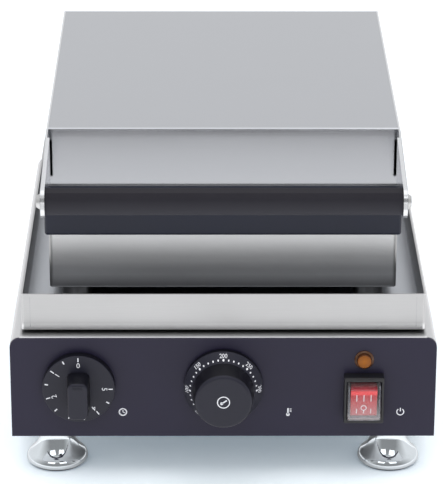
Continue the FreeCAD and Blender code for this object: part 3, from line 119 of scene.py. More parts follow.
def new_tree(name, kind, inputs, outputs):
    """A node group with named sockets; returns the tree, its input node and its output node."""
    tree = bpy.data.node_groups.new(name, kind)
    for label, socket, value in inputs:
        made = tree.interface.new_socket(label, in_out="INPUT", socket_type=socket)
        if value is not None:
            made.default_value = value
    for label, socket in outputs:
        tree.interface.new_socket(label, in_out="OUTPUT", socket_type=socket)
    return tree, tree.nodes.new("NodeGroupInput"), tree.nodes.new("NodeGroupOutput")


def own_place(tree):
    """A point's place on its own piece, so that a pattern moves with the piece."""
    return add_node(tree, "ShaderNodeTexCoord").outputs["Object"]


def axes_of(tree, vector):
    return add_node(tree, "ShaderNodeSeparateXYZ", {0: vector}).outputs


def vector_of(tree, **axes):
    return add_node(tree, "ShaderNodeCombineXYZ", axes).outputs[0]


def math_node(tree, operation, first, second=0.0, clamp=False):
    inputs = {0: first, 1: second}
    return add_node(tree, "ShaderNodeMath", inputs, operation=operation, use_clamp=clamp).outputs[0]


def product(tree, first, second):
    return math_node(tree, "MULTIPLY", first, second)


def mix_colour(tree, factor, first, second):
    return add_node(tree, "ShaderNodeMix", {0: factor, 6: first, 7: second}, data_type="RGBA").outputs[2]


def mix_value(tree, factor, first, second):
    return add_node(tree, "ShaderNodeMix", {0: factor, 2: first, 3: second}).outputs[0]


def ramp(tree, value, start, full, low=0.0, high=1.0):
    """Carry a value from one range to another, and hold it at both ends."""
    ranges = {"From Min": start, "From Max": full, "To Min": low, "To Max": high}
    return add_node(tree, "ShaderNodeMapRange", {"Value": value, **ranges}).outputs[0]


def spread(tree, value, low, high):
    """Carry a value from 0..1 to another range."""
    return ramp(tree, value, 0.0, 1.0, low, high)


# %% [markdown]
# ## Shared effects
# Stainless sheet is ground with a belt, so its scratches all run one way: along X on the faces that show,
# along Y on the sides. Noise that is stretched along one axis gives such a grain, and the face's own normal
# chooses the axis. Soft smudges come from hands and cloths, and fine speckle from moulds and powder coats.
# Each is a node group, so that every finish can use it with its own sizes.


# %% Brushed grain, smudges and fine speckle
def make_grain_group():
    tree, source, sink = new_tree("brushed grain", "ShaderNodeTree",
                                  [("Lines per metre", FLOAT, 1500.0), ("Stretch", FLOAT, 0.012)],
                                  [("Tone", FLOAT), ("Height", FLOAT)])
    place = own_place(tree)
    fine = source.outputs["Lines per metre"]
    along = product(tree, fine, source.outputs["Stretch"])
    tones = []
    for x, y in ((along, fine), (fine, along)):
        size = vector_of(tree, X=x, Y=y, Z=fine)
        stretched = add_node(tree, "ShaderNodeVectorMath", {0: place, 1: size}, operation="MULTIPLY")
        noise = add_node(tree, "ShaderNodeTexNoise", {"Vector": stretched.outputs[0], "Scale": 1.0,
                                                      "Detail": 3.0, "Roughness": 0.65})
        tones.append(noise.outputs[0])
    normal = add_node(tree, "ShaderNodeNewGeometry").outputs["Normal"]
    sideways = math_node(tree, "ABSOLUTE", axes_of(tree, normal)["X"])
    on_side = math_node(tree, "GREATER_THAN", sideways, 0.7)
    tone = mix_value(tree, on_side, *tones)
    tree.links.new(tone, sink.inputs["Tone"])
    tree.links.new(tone, sink.inputs["Height"])
    return tree


def make_smudge_group():
    tree, source, sink = new_tree("smudges", "ShaderNodeTree",
                                  [("Patches per metre", FLOAT, 14.0), ("Amount", FLOAT, 1.0)],
                                  [("Mask", FLOAT)])
    noise = add_node(tree, "ShaderNodeTexNoise",
                     {"Vector": own_place(tree), "Scale": source.outputs["Patches per metre"], "Detail": 5.0,
                      "Roughness": 0.6, "Distortion": 0.6})
    patch = ramp(tree, noise.outputs[0], 0.42, 0.72)
    tree.links.new(product(tree, patch, source.outputs["Amount"]), sink.inputs["Mask"])
    return tree


def make_speckle_group():
    tree, source, sink = new_tree("fine speckle", "ShaderNodeTree", [("Grains per metre", FLOAT, 2500.0)],
                                  [("Tone", FLOAT), ("Height", FLOAT)])
    sizes = {"Vector": own_place(tree), "Scale": source.outputs["Grains per metre"]}
    noise = add_node(tree, "ShaderNodeTexNoise", {**sizes, "Detail": 2.0}).outputs[0]
    cells = add_node(tree, "ShaderNodeTexVoronoi", sizes).outputs["Distance"]
    tree.links.new(noise, sink.inputs["Tone"])
    tree.links.new(math_node(tree, "ADD", noise, product(tree, cells, 0.5)), sink.inputs["Height"])
    return tree


GRAIN = make_grain_group()
SMUDGES = make_smudge_group()
SPECKLE = make_speckle_group()
print("shared effects:", GRAIN.name, SMUDGES.name, SPECKLE.name)

# %% [markdown]
# ## From an effect to a finish
# A finish starts as a Principled BSDF. What is the same all over the surface is set on the shader's own
# sockets, and only what changes from place to place is linked.


# %% Helpers for finishes
def material_with(name, **sockets):
    """A new material with a Principled BSDF whose plain numbers and colours are set on its own sockets."""
    material = bpy.data.materials.new(name)
    material.use_nodes = True
    shader = material.node_tree.nodes["Principled BSDF"]
    for label, value in sockets.items():
        shader.inputs[label.replace("_", " ").title().replace("Ior", "IOR")].default_value = value
    return material, material.node_tree, shader


def effect(tree, group, **values):
    """Place a shared effect in a material, with its own values."""
    node = tree.nodes.new("ShaderNodeGroup")
    node.node_tree = group
    for label, value in values.items():
        node.inputs[label.replace("_", " ").capitalize()].default_value = value
    return node


def smudge_mask(tree, patches, amount=1.0):
    return effect(tree, SMUDGES, patches_per_metre=patches, amount=amount).outputs["Mask"]


def emboss(tree, shader, height, strength, depth=0.1 * MM):
    """Let a height tilt the surface's normal."""
    bump = add_node(tree, "ShaderNodeBump", {"Strength": strength, "Distance": depth, "Height": height})
    tree.links.new(bump.outputs[0], shader.inputs["Normal"])


# Painted light and shade: this lays a tone on a finish by place.
def tone_where(material, tone, *ramps):
    """Take a finish over to another tone, where all its ramps are full.

    A ramp has an axis, an edge on that axis, and two distances from that edge, in millimetres: where the tone
    starts and where it is full. X counts from the middle outwards, so a ramp on it holds for both sides.
    """
    tree = material.node_tree
    along = dict(axes_of(tree, own_place(tree)).items())
    along["X"] = math_node(tree, "ABSOLUTE", along["X"])
    share = 1.0
    for axis, edge, start, full in ramps:
        share = product(tree, share, ramp(tree, along[axis], edge + start * MM, edge + full * MM))
    into = tree.nodes["Principled BSDF"].inputs["Base Color"]
    tree.links.new(mix_colour(tree, share, into.links[0].from_socket, (*tone, 1)), into)


# %% [markdown]
# ## Stainless sheet
# Ground stainless reflects the room in soft vertical streaks, because light spreads across the scratches. A
# metallic Principled BSDF with a middling roughness does this, and the grain moves its tone, roughness and
# bump a little. The tray, the two casings and the lid share the recipe. Their tones differ far more than one
# stainless would: each is set for the light on that part, so it is partly painted light and shade.


# %% Stainless finishes
def stainless(name, dark, bright, rough_low, rough_high, lines=3000.0, bump=0.04):
    material, tree, shader = material_with(name, metallic=1.0)
    grain = effect(tree, GRAIN, lines_per_metre=lines)
    colour = mix_colour(tree, grain.outputs["Tone"], (*dark, 1), (*bright, 1))
    tree.links.new(colour, shader.inputs["Base Color"])
    rough = spread(tree, grain.outputs["Tone"], rough_low, rough_high)
    dulled = product(tree, smudge_mask(tree, 9.0, 0.5), 0.06)
    tree.links.new(math_node(tree, "ADD", rough, dulled), shader.inputs["Roughness"])
    emboss(tree, shader, grain.outputs["Height"], bump)
    return material


# The tones of these parts differ partly as painted light and shade, set for the light on each part.
lid_steel = stainless("lid_steel", (0.495, 0.505, 0.535), (0.555, 0.565, 0.595), 0.13, 0.19)
side_steel = stainless("side_steel", (0.78, 0.79, 0.81), (0.86, 0.87, 0.89), 0.16, 0.24)
casing_steel = stainless("casing_steel", (0.82, 0.825, 0.835), (0.90, 0.905, 0.915), 0.38, 0.46)
tray_steel = stainless("tray_steel", (0.53, 0.53, 0.535), (0.60, 0.60, 0.605), 0.30, 0.38)
base_steel = stainless("base_steel", (0.66, 0.66, 0.67), (0.74, 0.74, 0.75), 0.30, 0.38)
hinge_steel = stainless("hinge_steel", (0.42, 0.42, 0.44), (0.56, 0.56, 0.58), 0.32, 0.45, lines=900.0)
ground_aluminium = stainless("ground_aluminium", (0.50, 0.50, 0.51), (0.60, 0.60, 0.61), 0.40, 0.50,
                             lines=2000.0)
print("stainless finishes made")

# %% [markdown]
# ## Painted light and shade on the steel
# In the photograph no sheet has one brightness. The lower casing darkens towards the tray, the inside of
# the tray is darker than its outside, and the base is dark along the tray. The tray's fold and the lid's
# front bend are bright. Much of this is what the steel mirrors there, and the plain room of this scene
# doesn't hold it all. So these places get painted shade and painted highlights, tones of their own chosen to
# agree with the photograph, and they stay with the steel under any light; the dark band on the base is a
# painted shadow of the tray. The lower casing behind its front and the outer sides of the base and the lid,
# which the photograph hardly shows, get painted shade that sets them darker than the faces in front. One
# table holds the tones, each with the edges that bound it.

# %% Painted light and shade by place
tray_low, tray_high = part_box("drip_tray")
casing_low, casing_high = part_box("lower_casing")
base_side, lid_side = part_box("base_casing")[1].x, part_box("lid_side_right")[1].x
lid_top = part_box("lid_casing")[1].z
INSIDE_TRAY = (("Y", tray_low.y, 0.3, 0.7), ("Y", tray_high.y, -0.3, -0.7), ("X", tray_high.x, -0.3, -0.7))
# Painted shade, except for the tray's fold and the lid's front bend, which are painted highlights:
STEEL_PAINTED_LIGHT = (
    (casing_steel, (0.56, 0.56, 0.565), ("Y", casing_low.y, 4, 8)),
    (casing_steel, (0.42, 0.42, 0.425), ("X", casing_high.x, -3, -1.5)),
    (casing_steel, (0.34, 0.34, 0.345), ("Z", tray_low.z, 24, 16)),
    (tray_steel, (0.95, 0.95, 0.955), ("Z", tray_low.z, 5.5, 2.5)),
    (tray_steel, (0.36, 0.36, 0.37), ("Z", tray_high.z, -1, -2), ("Y", tray_low.y, 220, 30), *INSIDE_TRAY),
    (tray_steel, (0.60, 0.62, 0.66), ("Z", tray_low.z, 3, 2), *INSIDE_TRAY),
    (base_steel, (0.20, 0.20, 0.20), ("Y", tray_low.y, -9, -4), ("X", tray_high.x, 1.5, -1),
     ("Z", tray_low.z, -6, -4)),
    (base_steel, (0.50, 0.50, 0.51), ("X", base_side, -1.2, -0.2)),
    (side_steel, (0.50, 0.51, 0.53), ("X", lid_side, -0.6, -0.1)),
    (lid_steel, (0.72, 0.735, 0.775), ("Z", lid_top, -5, -2), ("Z", lid_top, -0.05, -0.3)),
)
for finish, tone, *ramps in STEEL_PAINTED_LIGHT:
    tone_where(finish, tone, *ramps)
print(len(STEEL_PAINTED_LIGHT), "tones laid on the steel")

# %% [markdown]
# ## Chrome and plated fasteners
# The feet are polished chrome: nearly a mirror, with a trace of smudges so that it doesn't look computed,
# and with a painted contact shadow, a dark tone on the lowest millimetre, where the photograph shows a dark
# line. Zinc plating on screws and nuts is duller, and heating tubes are darkened by heat.


# %% Chrome, zinc and heat-darkened steel
def polished(name, dark, bright, rough_low, rough_high, patches=30.0):
    material, tree, shader = material_with(name, metallic=1.0)
    smudge = smudge_mask(tree, patches)
    tree.links.new(mix_colour(tree, smudge, (*bright, 1), (*dark, 1)), shader.inputs["Base Color"])
    tree.links.new(spread(tree, smudge, rough_low, rough_high), shader.inputs["Roughness"])
    return material


chrome = polished("chrome", (0.72, 0.77, 0.81), (0.80, 0.85, 0.89), 0.03, 0.09)
# A painted contact shadow: the lowest millimetre of the feet is dark.
tone_where(chrome, (0.14, 0.14, 0.18), ("Z", cad_box[0].z, 1.8, 0.9))
zinc = polished("zinc_plating", (0.52, 0.52, 0.50), (0.66, 0.66, 0.67), 0.28, 0.42, patches=180.0)
heated_steel = polished("heat_darkened_steel", (0.20, 0.17, 0.15), (0.34, 0.31, 0.29), 0.40, 0.55,
                        patches=60.0)
copper = polished("drawn_copper", (0.50, 0.26, 0.16), (0.72, 0.42, 0.28), 0.25, 0.38, patches=80.0)
print("plated finishes made")

# %% [markdown]
# ## Coatings and plastics
# The panel has a satin powder coat, the baking plates a dark non-stick coating with a bluish tinge, and the
# handle and knobs are moulded with a fine texture. All are dark dielectrics: the speckle group gives each
# its own grain, and the smudges change its gloss. The knobs' sides get a painted shade that makes them darker
# than their fronts, mixed in where the surface doesn't face along Y; the knobs turn about Y, so it stays with
# them. The handle gets painted light: a paler tone towards its lower edge, to agree with the photograph.


# %% Dark coatings and moulded plastics
def moulded(name, dark, bright, rough_low, rough_high, grains=2500.0, bump=0.10, painted_side_shade=1.0, **sockets):
    material, tree, shader = material_with(name, **sockets)
    speckle = effect(tree, SPECKLE, grains_per_metre=grains)
    smudge = smudge_mask(tree, 22.0, 0.7)
    tone = math_node(tree, "ADD", product(tree, speckle.outputs["Tone"], 0.5), product(tree, smudge, 0.5),
                     clamp=True)
    colour = mix_colour(tree, tone, (*dark, 1), (*bright, 1))
    # The sides' darker tone is a painted shade.
    if painted_side_shade < 1:
        normal = add_node(tree, "ShaderNodeNewGeometry").outputs["Normal"]
        front = ramp(tree, math_node(tree, "ABSOLUTE", axes_of(tree, normal)["Y"]), 0.2, 0.6)
        colour = mix_colour(tree, front, (*[painted_side_shade * part for part in dark], 1), colour)
    tree.links.new(colour, shader.inputs["Base Color"])
    tree.links.new(spread(tree, smudge, rough_low, rough_high), shader.inputs["Roughness"])
    emboss(tree, shader, speckle.outputs["Height"], bump)
    return material


panel_coat = moulded("panel_coat", (0.011, 0.009, 0.026), (0.017, 0.014, 0.037), 0.42, 0.50, grains=3200.0,
                     specular_ior_level=0.35)
plate_coat = moulded("plate_coat", (0.007, 0.009, 0.021), (0.014, 0.017, 0.034), 0.36, 0.48, grains=1800.0,
                     bump=0.18, specular_ior_level=0.4)
handle_plastic = moulded("handle_plastic", (0.012, 0.011, 0.015), (0.020, 0.019, 0.024), 0.46, 0.56,
                         specular_ior_level=0.06)
handle_low, handle_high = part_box("handle")
handle_height = (handle_high.z - handle_low.z) / MM
# Painted light: the handle's lower edge is paler.
tone_where(handle_plastic, (0.047, 0.046, 0.054), ("Z", handle_low.z, handle_height, 0))
knob_plastic = moulded("knob_plastic", (0.007, 0.007, 0.017), (0.013, 0.013, 0.026), 0.42, 0.52,
                       painted_side_shade=0.3, specular_ior_level=0.42)
switch_plastic = moulded("switch_plastic", (0.007, 0.007, 0.009), (0.013, 0.013, 0.016), 0.30, 0.40)
bezel_plastic = moulded("bezel_plastic", (0.055, 0.020, 0.006), (0.095, 0.036, 0.010), 0.18, 0.26)
terminal_plastic = moulded("terminal_plastic", (0.60, 0.58, 0.54), (0.70, 0.68, 0.63), 0.45, 0.55,
                           grains=900.0)
mineral_wool = moulded("mineral_wool", (0.45, 0.42, 0.33), (0.64, 0.61, 0.53), 0.90, 0.98, grains=350.0,
                       bump=0.6)
white_print = moulded("white_print", (0.68, 0.68, 0.72), (0.78, 0.78, 0.82), 0.45, 0.55, grains=1200.0,
                      bump=0.02)
socket_black = moulded("socket_black", (0.006, 0.006, 0.007), (0.012, 0.012, 0.013), 0.55, 0.70)
print("coatings and plastics made")

# %% [markdown]
# ## Amber lens, clear hood and red rocker
# The lamp's lens is tinted plastic with rings moulded inside, so its bump follows the distance from the
# lamp's axis. Its colour follows that distance too: a painted glow brightens the middle, and a painted shade
# darkens the rim. The hood over the switch is a soft clear film that looks milkier low down, so its alpha
# follows the height. The rocker is translucent red. Its colour goes in painted zones from the top: a deep
# painted shade, then a bright band of painted light, then in between.

# %% Lens, hood and rocker
LAMP = middle_of("lamp_lens")
LENS_RING_PITCH = 1.1 * MM
LENS_PAINTED_GLOW_FADE = 140.0
LENS_SHADE_FROM, LENS_SHADE_TO = 4.5 * MM, 5.3 * MM
HOOD_MILKY, HOOD_CLEAR = 0.17, 0.02
# The rocker's top is painted shade; below it come a painted highlight band and a middle tone.
ROCKER_SHADED_TOP_RED = (0.30, 0.010, 0.020, 1)
ROCKER_LIGHT_ZONES = ((3.4, 4.4, (0.74, 0.052, 0.058, 1)), (7.0, 8.6, (0.44, 0.030, 0.038, 1)))


def make_amber():
    material, tree, shader = material_with("amber_lens", roughness=0.16, ior=1.49, specular_ior_level=0.3)
    centred = add_node(tree, "ShaderNodeMapping", {"Vector": own_place(tree),
                                                   "Location": (-LAMP.x, 0, -LAMP.z)}, vector_type="POINT")
    flat = add_node(tree, "ShaderNodeVectorMath", {0: centred.outputs[0], 1: (1, 0, 1)}, operation="MULTIPLY")
    radius = add_node(tree, "ShaderNodeVectorMath", {0: flat.outputs[0]}, operation="LENGTH").outputs["Value"]
    # A painted glow brightens the lens's middle, and a painted shade darkens its rim.
    glow = math_node(tree, "SUBTRACT", 1.0, product(tree, radius, LENS_PAINTED_GLOW_FADE), clamp=True)
    colour = mix_colour(tree, glow, (0.15, 0.042, 0.002, 1), (0.30, 0.093, 0.005, 1))
    rim = ramp(tree, radius, LENS_SHADE_FROM, LENS_SHADE_TO)
    colour = mix_colour(tree, rim, colour, (0.045, 0.012, 0.002, 1))
    tree.links.new(colour, shader.inputs["Base Color"])
    rings = math_node(tree, "SINE", product(tree, radius, 2 * math.pi / LENS_RING_PITCH))
    emboss(tree, shader, rings, 0.35, depth=0.2 * MM)
    return material


def make_hood():
    material, tree, shader = material_with("clear_hood", ior=1.5, specular_ior_level=0.2)
    smudge = smudge_mask(tree, 120.0)
    film = mix_colour(tree, smudge, (0.80, 0.76, 0.77, 1), (0.90, 0.87, 0.88, 1))
    tree.links.new(film, shader.inputs["Base Color"])
    tree.links.new(spread(tree, smudge, 0.08, 0.22), shader.inputs["Roughness"])
    low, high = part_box("switch_cover")
    clear_from = (low.z + 2 * high.z) / 3
    height = axes_of(tree, own_place(tree))["Z"]
    tree.links.new(ramp(tree, height, low.z, clear_from, HOOD_MILKY, HOOD_CLEAR), shader.inputs["Alpha"])
    return material


def make_rocker_red():
    material, tree, shader = material_with("rocker_red")
    height = axes_of(tree, own_place(tree))["Z"]
    below_top = math_node(tree, "SUBTRACT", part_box("switch_rocker")[1].z, height)
    colour = ROCKER_SHADED_TOP_RED
    for start, full, tone in ROCKER_LIGHT_ZONES:
        colour = mix_colour(tree, ramp(tree, below_top, start * MM, full * MM), colour, tone)
    tree.links.new(colour, shader.inputs["Base Color"])
    tree.links.new(spread(tree, smudge_mask(tree, 90.0), 0.22, 0.36), shader.inputs["Roughness"])
    return material


amber = make_amber()
clear_hood = make_hood()
rocker_red = make_rocker_red()
print("lamp axis at x", round(LAMP.x, 4), "z", round(LAMP.z, 4))

# %% [markdown]
# ## Finishes on the solids
# Each CAD solid keeps its shape and takes its finish through its material slots.

# %% Dress the solids
FINISHES = {
    lid_steel: ["lid_casing"],
    side_steel: ["lid_side_left", "lid_side_right"],
    casing_steel: ["lower_casing"],
    tray_steel: ["drip_tray"],
    base_steel: ["base_casing", "rear_panel", "bottom_cover", "post_front_left", "post_front_right",
                 "post_rear_left", "post_rear_right", "tray_spacers", "wire_sleeve"],
    hinge_steel: ["hinge_bracket_left", "hinge_bracket_right", "hinge_pins", "hinge_clips",
                  "lower_heater_clamp", "upper_heater_clamp"],
    chrome: ["foot_front_left", "foot_front_right", "foot_rear_left", "foot_rear_right"],
    zinc: ["cover_screws", "foot_studs", "foot_nuts", "post_bolts", "lower_plate_bolts", "upper_plate_bolts",
           "lower_clamp_screws", "upper_clamp_screws", "handle_screws", "hinge_bracket_screws", "timer_shaft",
           "thermostat_shaft", "lamp_nut"],
    heated_steel: ["lower_heater", "upper_heater"],
    copper: ["thermostat_bulb"],
    panel_coat: ["front_panel"],
    plate_coat: ["lower_plate", "upper_plate"],
    handle_plastic: ["handle"],
    knob_plastic: ["timer_knob", "thermostat_knob"],
    switch_plastic: ["switch_frame", "switch_housing", "cable_gland", "gland_nut", "timer_body",
                     "thermostat_body"],
    bezel_plastic: ["lamp_housing"],
    terminal_plastic: ["terminal_block"],
    mineral_wool: ["lower_insulation", "upper_insulation"],
    rocker_red: ["switch_rocker"],
    amber: ["lamp_lens"],
    clear_hood: ["switch_cover"],
}
for finish, names in FINISHES.items():
    for name in names:
        for slot in nodes[name].material_slots:
            slot.material = finish
dressed = {name for names in FINISHES.values() for name in names}
print("dressed", len(dressed), "solids, left", sorted(set(nodes) - dressed))

# %% [markdown]
# ## Flat shapes for printing
# Scales and signs are printed on the knobs, the panel and the rocker. Drawing them as an image would need
# an unwrapped texture; drawing them as small flat meshes keeps them sharp at any size. Each shape here is a
# list of points and a list of faces in a plane. Digits come from Blender's own font, turned into a mesh at
# once.


# %% Bars, discs, rings and digits
def bar(width, low, high):
    return [(-width / 2, low), (width / 2, low), (width / 2, high), (-width / 2, high)], [(0, 1, 2, 3)]


def disc(radius, sides=24):
    turns = [2 * math.pi * step / sides for step in range(sides)]
    return [(radius * math.cos(turn), radius * math.sin(turn)) for turn in turns], [tuple(range(sides))]


def ring(outer, inner, start=0.0, sweep=360.0, steps=48):
    """A flat ring, or a part of one from the angle start on, counted from +X."""
    points = []
    for step in range(steps + 1):
        turn = math.radians(start + sweep * step / steps)
        points += [(radius * math.cos(turn), radius * math.sin(turn)) for radius in (inner, outer)]
    faces = [(2 * step, 2 * step + 1, 2 * step + 3, 2 * step + 2) for step in range(steps)]
    return points, faces


def digits(text, height, narrow=1.0):
    """The text as a flat mesh of that height, narrowed by a factor, with its middle at the origin."""
    curve = bpy.data.curves.new("digits", "FONT")
    curve.body = text
    curve.resolution_u = 3
    holder = bpy.data.objects.new("digits", curve)
    bpy.context.scene.collection.objects.link(holder)
    mesh = bpy.data.meshes.new_from_object(holder.evaluated_get(bpy.context.evaluated_depsgraph_get()))
    points = [vertex.co.xy for vertex in mesh.vertices]
    lows = [min(point[axis] for point in points) for axis in (0, 1)]
    highs = [max(point[axis] for point in points) for axis in (0, 1)]
    scales = [narrow * height / (highs[1] - lows[1]), height / (highs[1] - lows[1])]
    shape = ([tuple(scales[axis] * (point[axis] - (lows[axis] + highs[axis]) / 2) for axis in (0, 1))
              for point in points], [tuple(face.vertices) for face in mesh.polygons])
    bpy.data.objects.remove(holder)
    bpy.data.curves.remove(curve)
    bpy.data.meshes.remove(mesh)
    return shape


def moved(shape, angle=0.0, x=0.0, y=0.0):
    """The shape turned counter-clockwise about the origin and then shifted."""
    cosine, sine = math.cos(math.radians(angle)), math.sin(math.radians(angle))
    points, faces = shape
    return [(cosine * u - sine * v + x, sine * u + cosine * v + y) for u, v in points], faces


def curled(shape, angle, radius, lean):
    """The shape bent round a dial's cone: its width along the arc, its height outwards and foreshortened."""
    points, faces = shape
    bent = []
    for u, v in points:
        turn = math.radians(angle) - u / radius
        reach = radius + v * lean
        bent.append((-reach * math.sin(turn), reach * math.cos(turn)))
    return bent, faces


# %% [markdown]
# ## Printing on a solid
# A print has to follow the surface under it, also on the sloping skirt of a dial or the dished face of a
# rocker. Each point is therefore sent along +Y, the way a viewer looks, until it meets the solid, and set a
# hundredth of a millimetre in front of it. Long edges are split first, so that the film bends with the
# surface.


# %% Lay a film on the front of a solid
def surface_of(node):
    mesh = nodes[node].data
    return BVHTree.FromPolygons([vertex.co for vertex in mesh.vertices],
                                [face.vertices for face in mesh.polygons])


def depth_at(surface, x, z):
    in_front = Vector((x, cad_box[0].y - 0.1, z))
    return surface.ray_cast(in_front, Vector((0, 1, 0)))[0].y


def finish_piece(name, work, body, material):
    """Turn the normals outwards, make a mesh object of the work, and set it on its body."""
    bmesh.ops.recalc_face_normals(work, faces=work.faces)
    mesh = bpy.data.meshes.new(name)
    work.to_mesh(mesh)
    work.free()
    mesh.materials.append(material)
    piece = bpy.data.objects.new(name, mesh)
    bpy.context.scene.collection.objects.link(piece)
    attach(piece, body)
    print(name, len(mesh.polygons), "faces on", body)


def print_on(name, node, body, material, centre, shapes, film=0.07 * MM, gap=0.01 * MM,
             longest=1.5 * MM):
    """Shapes drawn about a centre (X, Z), in millimetres, as one thin closed film in front of a solid."""
    surface = surface_of(node)
    work = bmesh.new()
    for points, faces in shapes:
        corners = [work.verts.new((centre[0] + u * MM, 0, centre[1] + v * MM)) for u, v in points]
        for face in faces:
            work.faces.new([corners[index] for index in face])
    bmesh.ops.remove_doubles(work, verts=work.verts, dist=1e-7)
    long_edges = [edge for edge in work.edges if edge.calc_length() > longest]
    bmesh.ops.subdivide_edges(work, edges=long_edges, cuts=3)
    bmesh.ops.triangulate(work, faces=work.faces)
    for vertex in work.verts:
        vertex.co.y = depth_at(surface, vertex.co.x, vertex.co.z) - gap
    copied = bmesh.ops.extrude_face_region(work, geom=work.faces[:], use_keep_orig=True)["geom"]
    for item in copied:
        if isinstance(item, bmesh.types.BMVert):
            item.co.y -= film
    finish_piece(name, work, body, material)


# %% [markdown]
# ## Timer scale
# The timer's disc turns with its grip, and the printed numbers with both. They run counter-clockwise from 0
# at the top to 5 minutes, over three quarters of a turn, with a short mark at each half minute. Three fine
# ribs on the top of the grip help the thumb.

# %% Timer numbers, marks and ribs
HALF_MINUTE_TURN, LAST_MINUTE = 27.0, 5
MARK_FROM, HALF_MARK_FROM, MARK_TO = 21.8, 22.4, 24.9
MINUTE_HEIGHT, MINUTE_PLACE = 3.9, 18.9
RIB_WIDTH, RIB_HALF_LENGTH, RIB_PLACES = 0.5, 3.6, (10.2, 9.0, 7.8)
timer_shaft = middle_of("timer_shaft")
timer_centre = (timer_shaft.x, timer_shaft.z)
timer_marks = []
for half_minutes in range(2 * LAST_MINUTE + 1):
    angle = half_minutes * HALF_MINUTE_TURN
    if half_minutes % 2:
        timer_marks.append(moved(bar(0.9, HALF_MARK_FROM, MARK_TO), angle))
    else:
        timer_marks.append(moved(bar(0.8, MARK_FROM, MARK_TO), angle))
        minute = digits(str(half_minutes // 2), MINUTE_HEIGHT)
        timer_marks.append(moved(moved(minute, y=MINUTE_PLACE), angle))
print_on("timer_scale", "timer_knob", "timer", white_print, timer_centre, timer_marks)
grip_ribs = [moved(bar(RIB_WIDTH, -RIB_HALF_LENGTH, RIB_HALF_LENGTH), 90, y=rise) for rise in RIB_PLACES]
print_on("timer_grip_ribs", "timer_knob", "timer", knob_plastic, timer_centre, grip_ribs,
         film=0.22 * MM)

# %% [markdown]
# ## Thermostat scale
# The thermostat's numbers lie on its sloping skirt: a dot for every ten degrees and a larger one under each
# number. At rest it stands at 200. A thermometer in a ring marks the cap.

# %% Thermostat numbers, dots and cap sign
LOWEST, HIGHEST, AT_TOP = 50, 300, 200
TURN_PER_DEGREE = 0.9
DOT_PLACE, SMALL_DOT, LARGE_DOT = 24.25, 0.55, 0.72
NUMBER_PLACE, NUMBER_HEIGHT, SKIRT_LEAN = 26.55, 3.4, 0.68
CAP_SIGN_TILT = -55
thermostat_shaft = middle_of("thermostat_shaft")
thermostat_centre = (thermostat_shaft.x, thermostat_shaft.z)
thermostat_marks = []
for degree in range(LOWEST, HIGHEST + 1, 10):
    angle = (AT_TOP - degree) * TURN_PER_DEGREE
    numbered = degree % 50 == 0
    thermostat_marks.append(moved(moved(disc(LARGE_DOT if numbered else SMALL_DOT), y=DOT_PLACE), angle))
    if numbered:
        number = digits(str(degree), NUMBER_HEIGHT, narrow=0.8)
        thermostat_marks.append(curled(number, angle, NUMBER_PLACE, SKIRT_LEAN))
cap_sign = [ring(4.7, 4.0)]
cap_sign += [moved(shape, CAP_SIGN_TILT) for shape in (moved(disc(1.15), y=-1.6), bar(1.0, -1.6, 2.9))]
for name, shapes in (("thermostat_scale", thermostat_marks), ("thermostat_cap_sign", cap_sign)):
    print_on(name, "thermostat_knob", "thermostat", white_print, thermostat_centre, shapes)

# %% [markdown]
# ## Signs on the panel
# Each control has a sign beside it: a clock face for the timer, a thermometer for the heat, and the usual
# broken ring with a bar for the power switch. Signs need no language, and each is built from the same bars,
# discs and rings.

# %% Clock, thermometer and power signs
SIGN_HEIGHT = 54.6 * MM
clock_sign = [ring(3.1, 2.5), bar(0.55, 0.0, 2.0), moved(bar(0.55, 0.0, 1.6), -110)]
clock_sign += [moved(bar(0.4, 1.9, 2.5), angle) for angle in range(30, 360, 30)]
thermometer_sign = [moved(disc(1.35), y=-2.0), bar(1.1, -2.0, 3.0)]
thermometer_sign += [moved(bar(0.45, 1.2, 2.6), -90, y=rise) for rise in (0.2, 1.3, 2.4)]
power_sign = [ring(2.9, 2.2, start=125, sweep=290), bar(0.75, 0.4, 3.2)]
for name, x, shapes in (("timer_sign", -73.4, clock_sign), ("heat_sign", 47.4, thermometer_sign),
                        ("power_sign", 129.7, power_sign)):
    print_on(name, "front_panel", "base", white_print, (x * MM, SIGN_HEIGHT), shapes)

# %% [markdown]
# ## Rocker marks
# The rocker carries bars above and a ring between bars below. They tip with it, so they ride on the
# rocker's body.

# %% Marks on the rocker
MARK_WIDTH, MARK_SPACING = 0.6, 5.2
rocker_middle = middle_of("switch_rocker")
rocker_marks = [moved(bar(MARK_WIDTH, -1.2, 5.0), x=x) for x in (-MARK_SPACING, 0.0, MARK_SPACING)]
rocker_marks += [moved(bar(MARK_WIDTH, -10.8, -7.2), x=x) for x in (-MARK_SPACING, MARK_SPACING)]
rocker_marks += [moved(ring(2.2, 1.65), y=-6.4), bar(MARK_WIDTH, -10.8, -8.6)]
print_on("rocker_marks", "switch_rocker", "rocker", white_print,
         (rocker_middle.x, rocker_middle.z), rocker_marks)

# %% [markdown]
# ## Marks of the sheet work
# A folded tray shows a fine seam beside each front corner, and a folded lid a small relief hole where the
# top and the front meet the side. Both are thin dark films, since they are too fine to cut. A bright strip
# on the upper plate's front ledge is taken for a rim that is left bare of coating, so a strip of ground
# aluminium lies there. The strip also stands in for the lid front's reflection on the ledge, and it covers
# the line of shade under the lid.

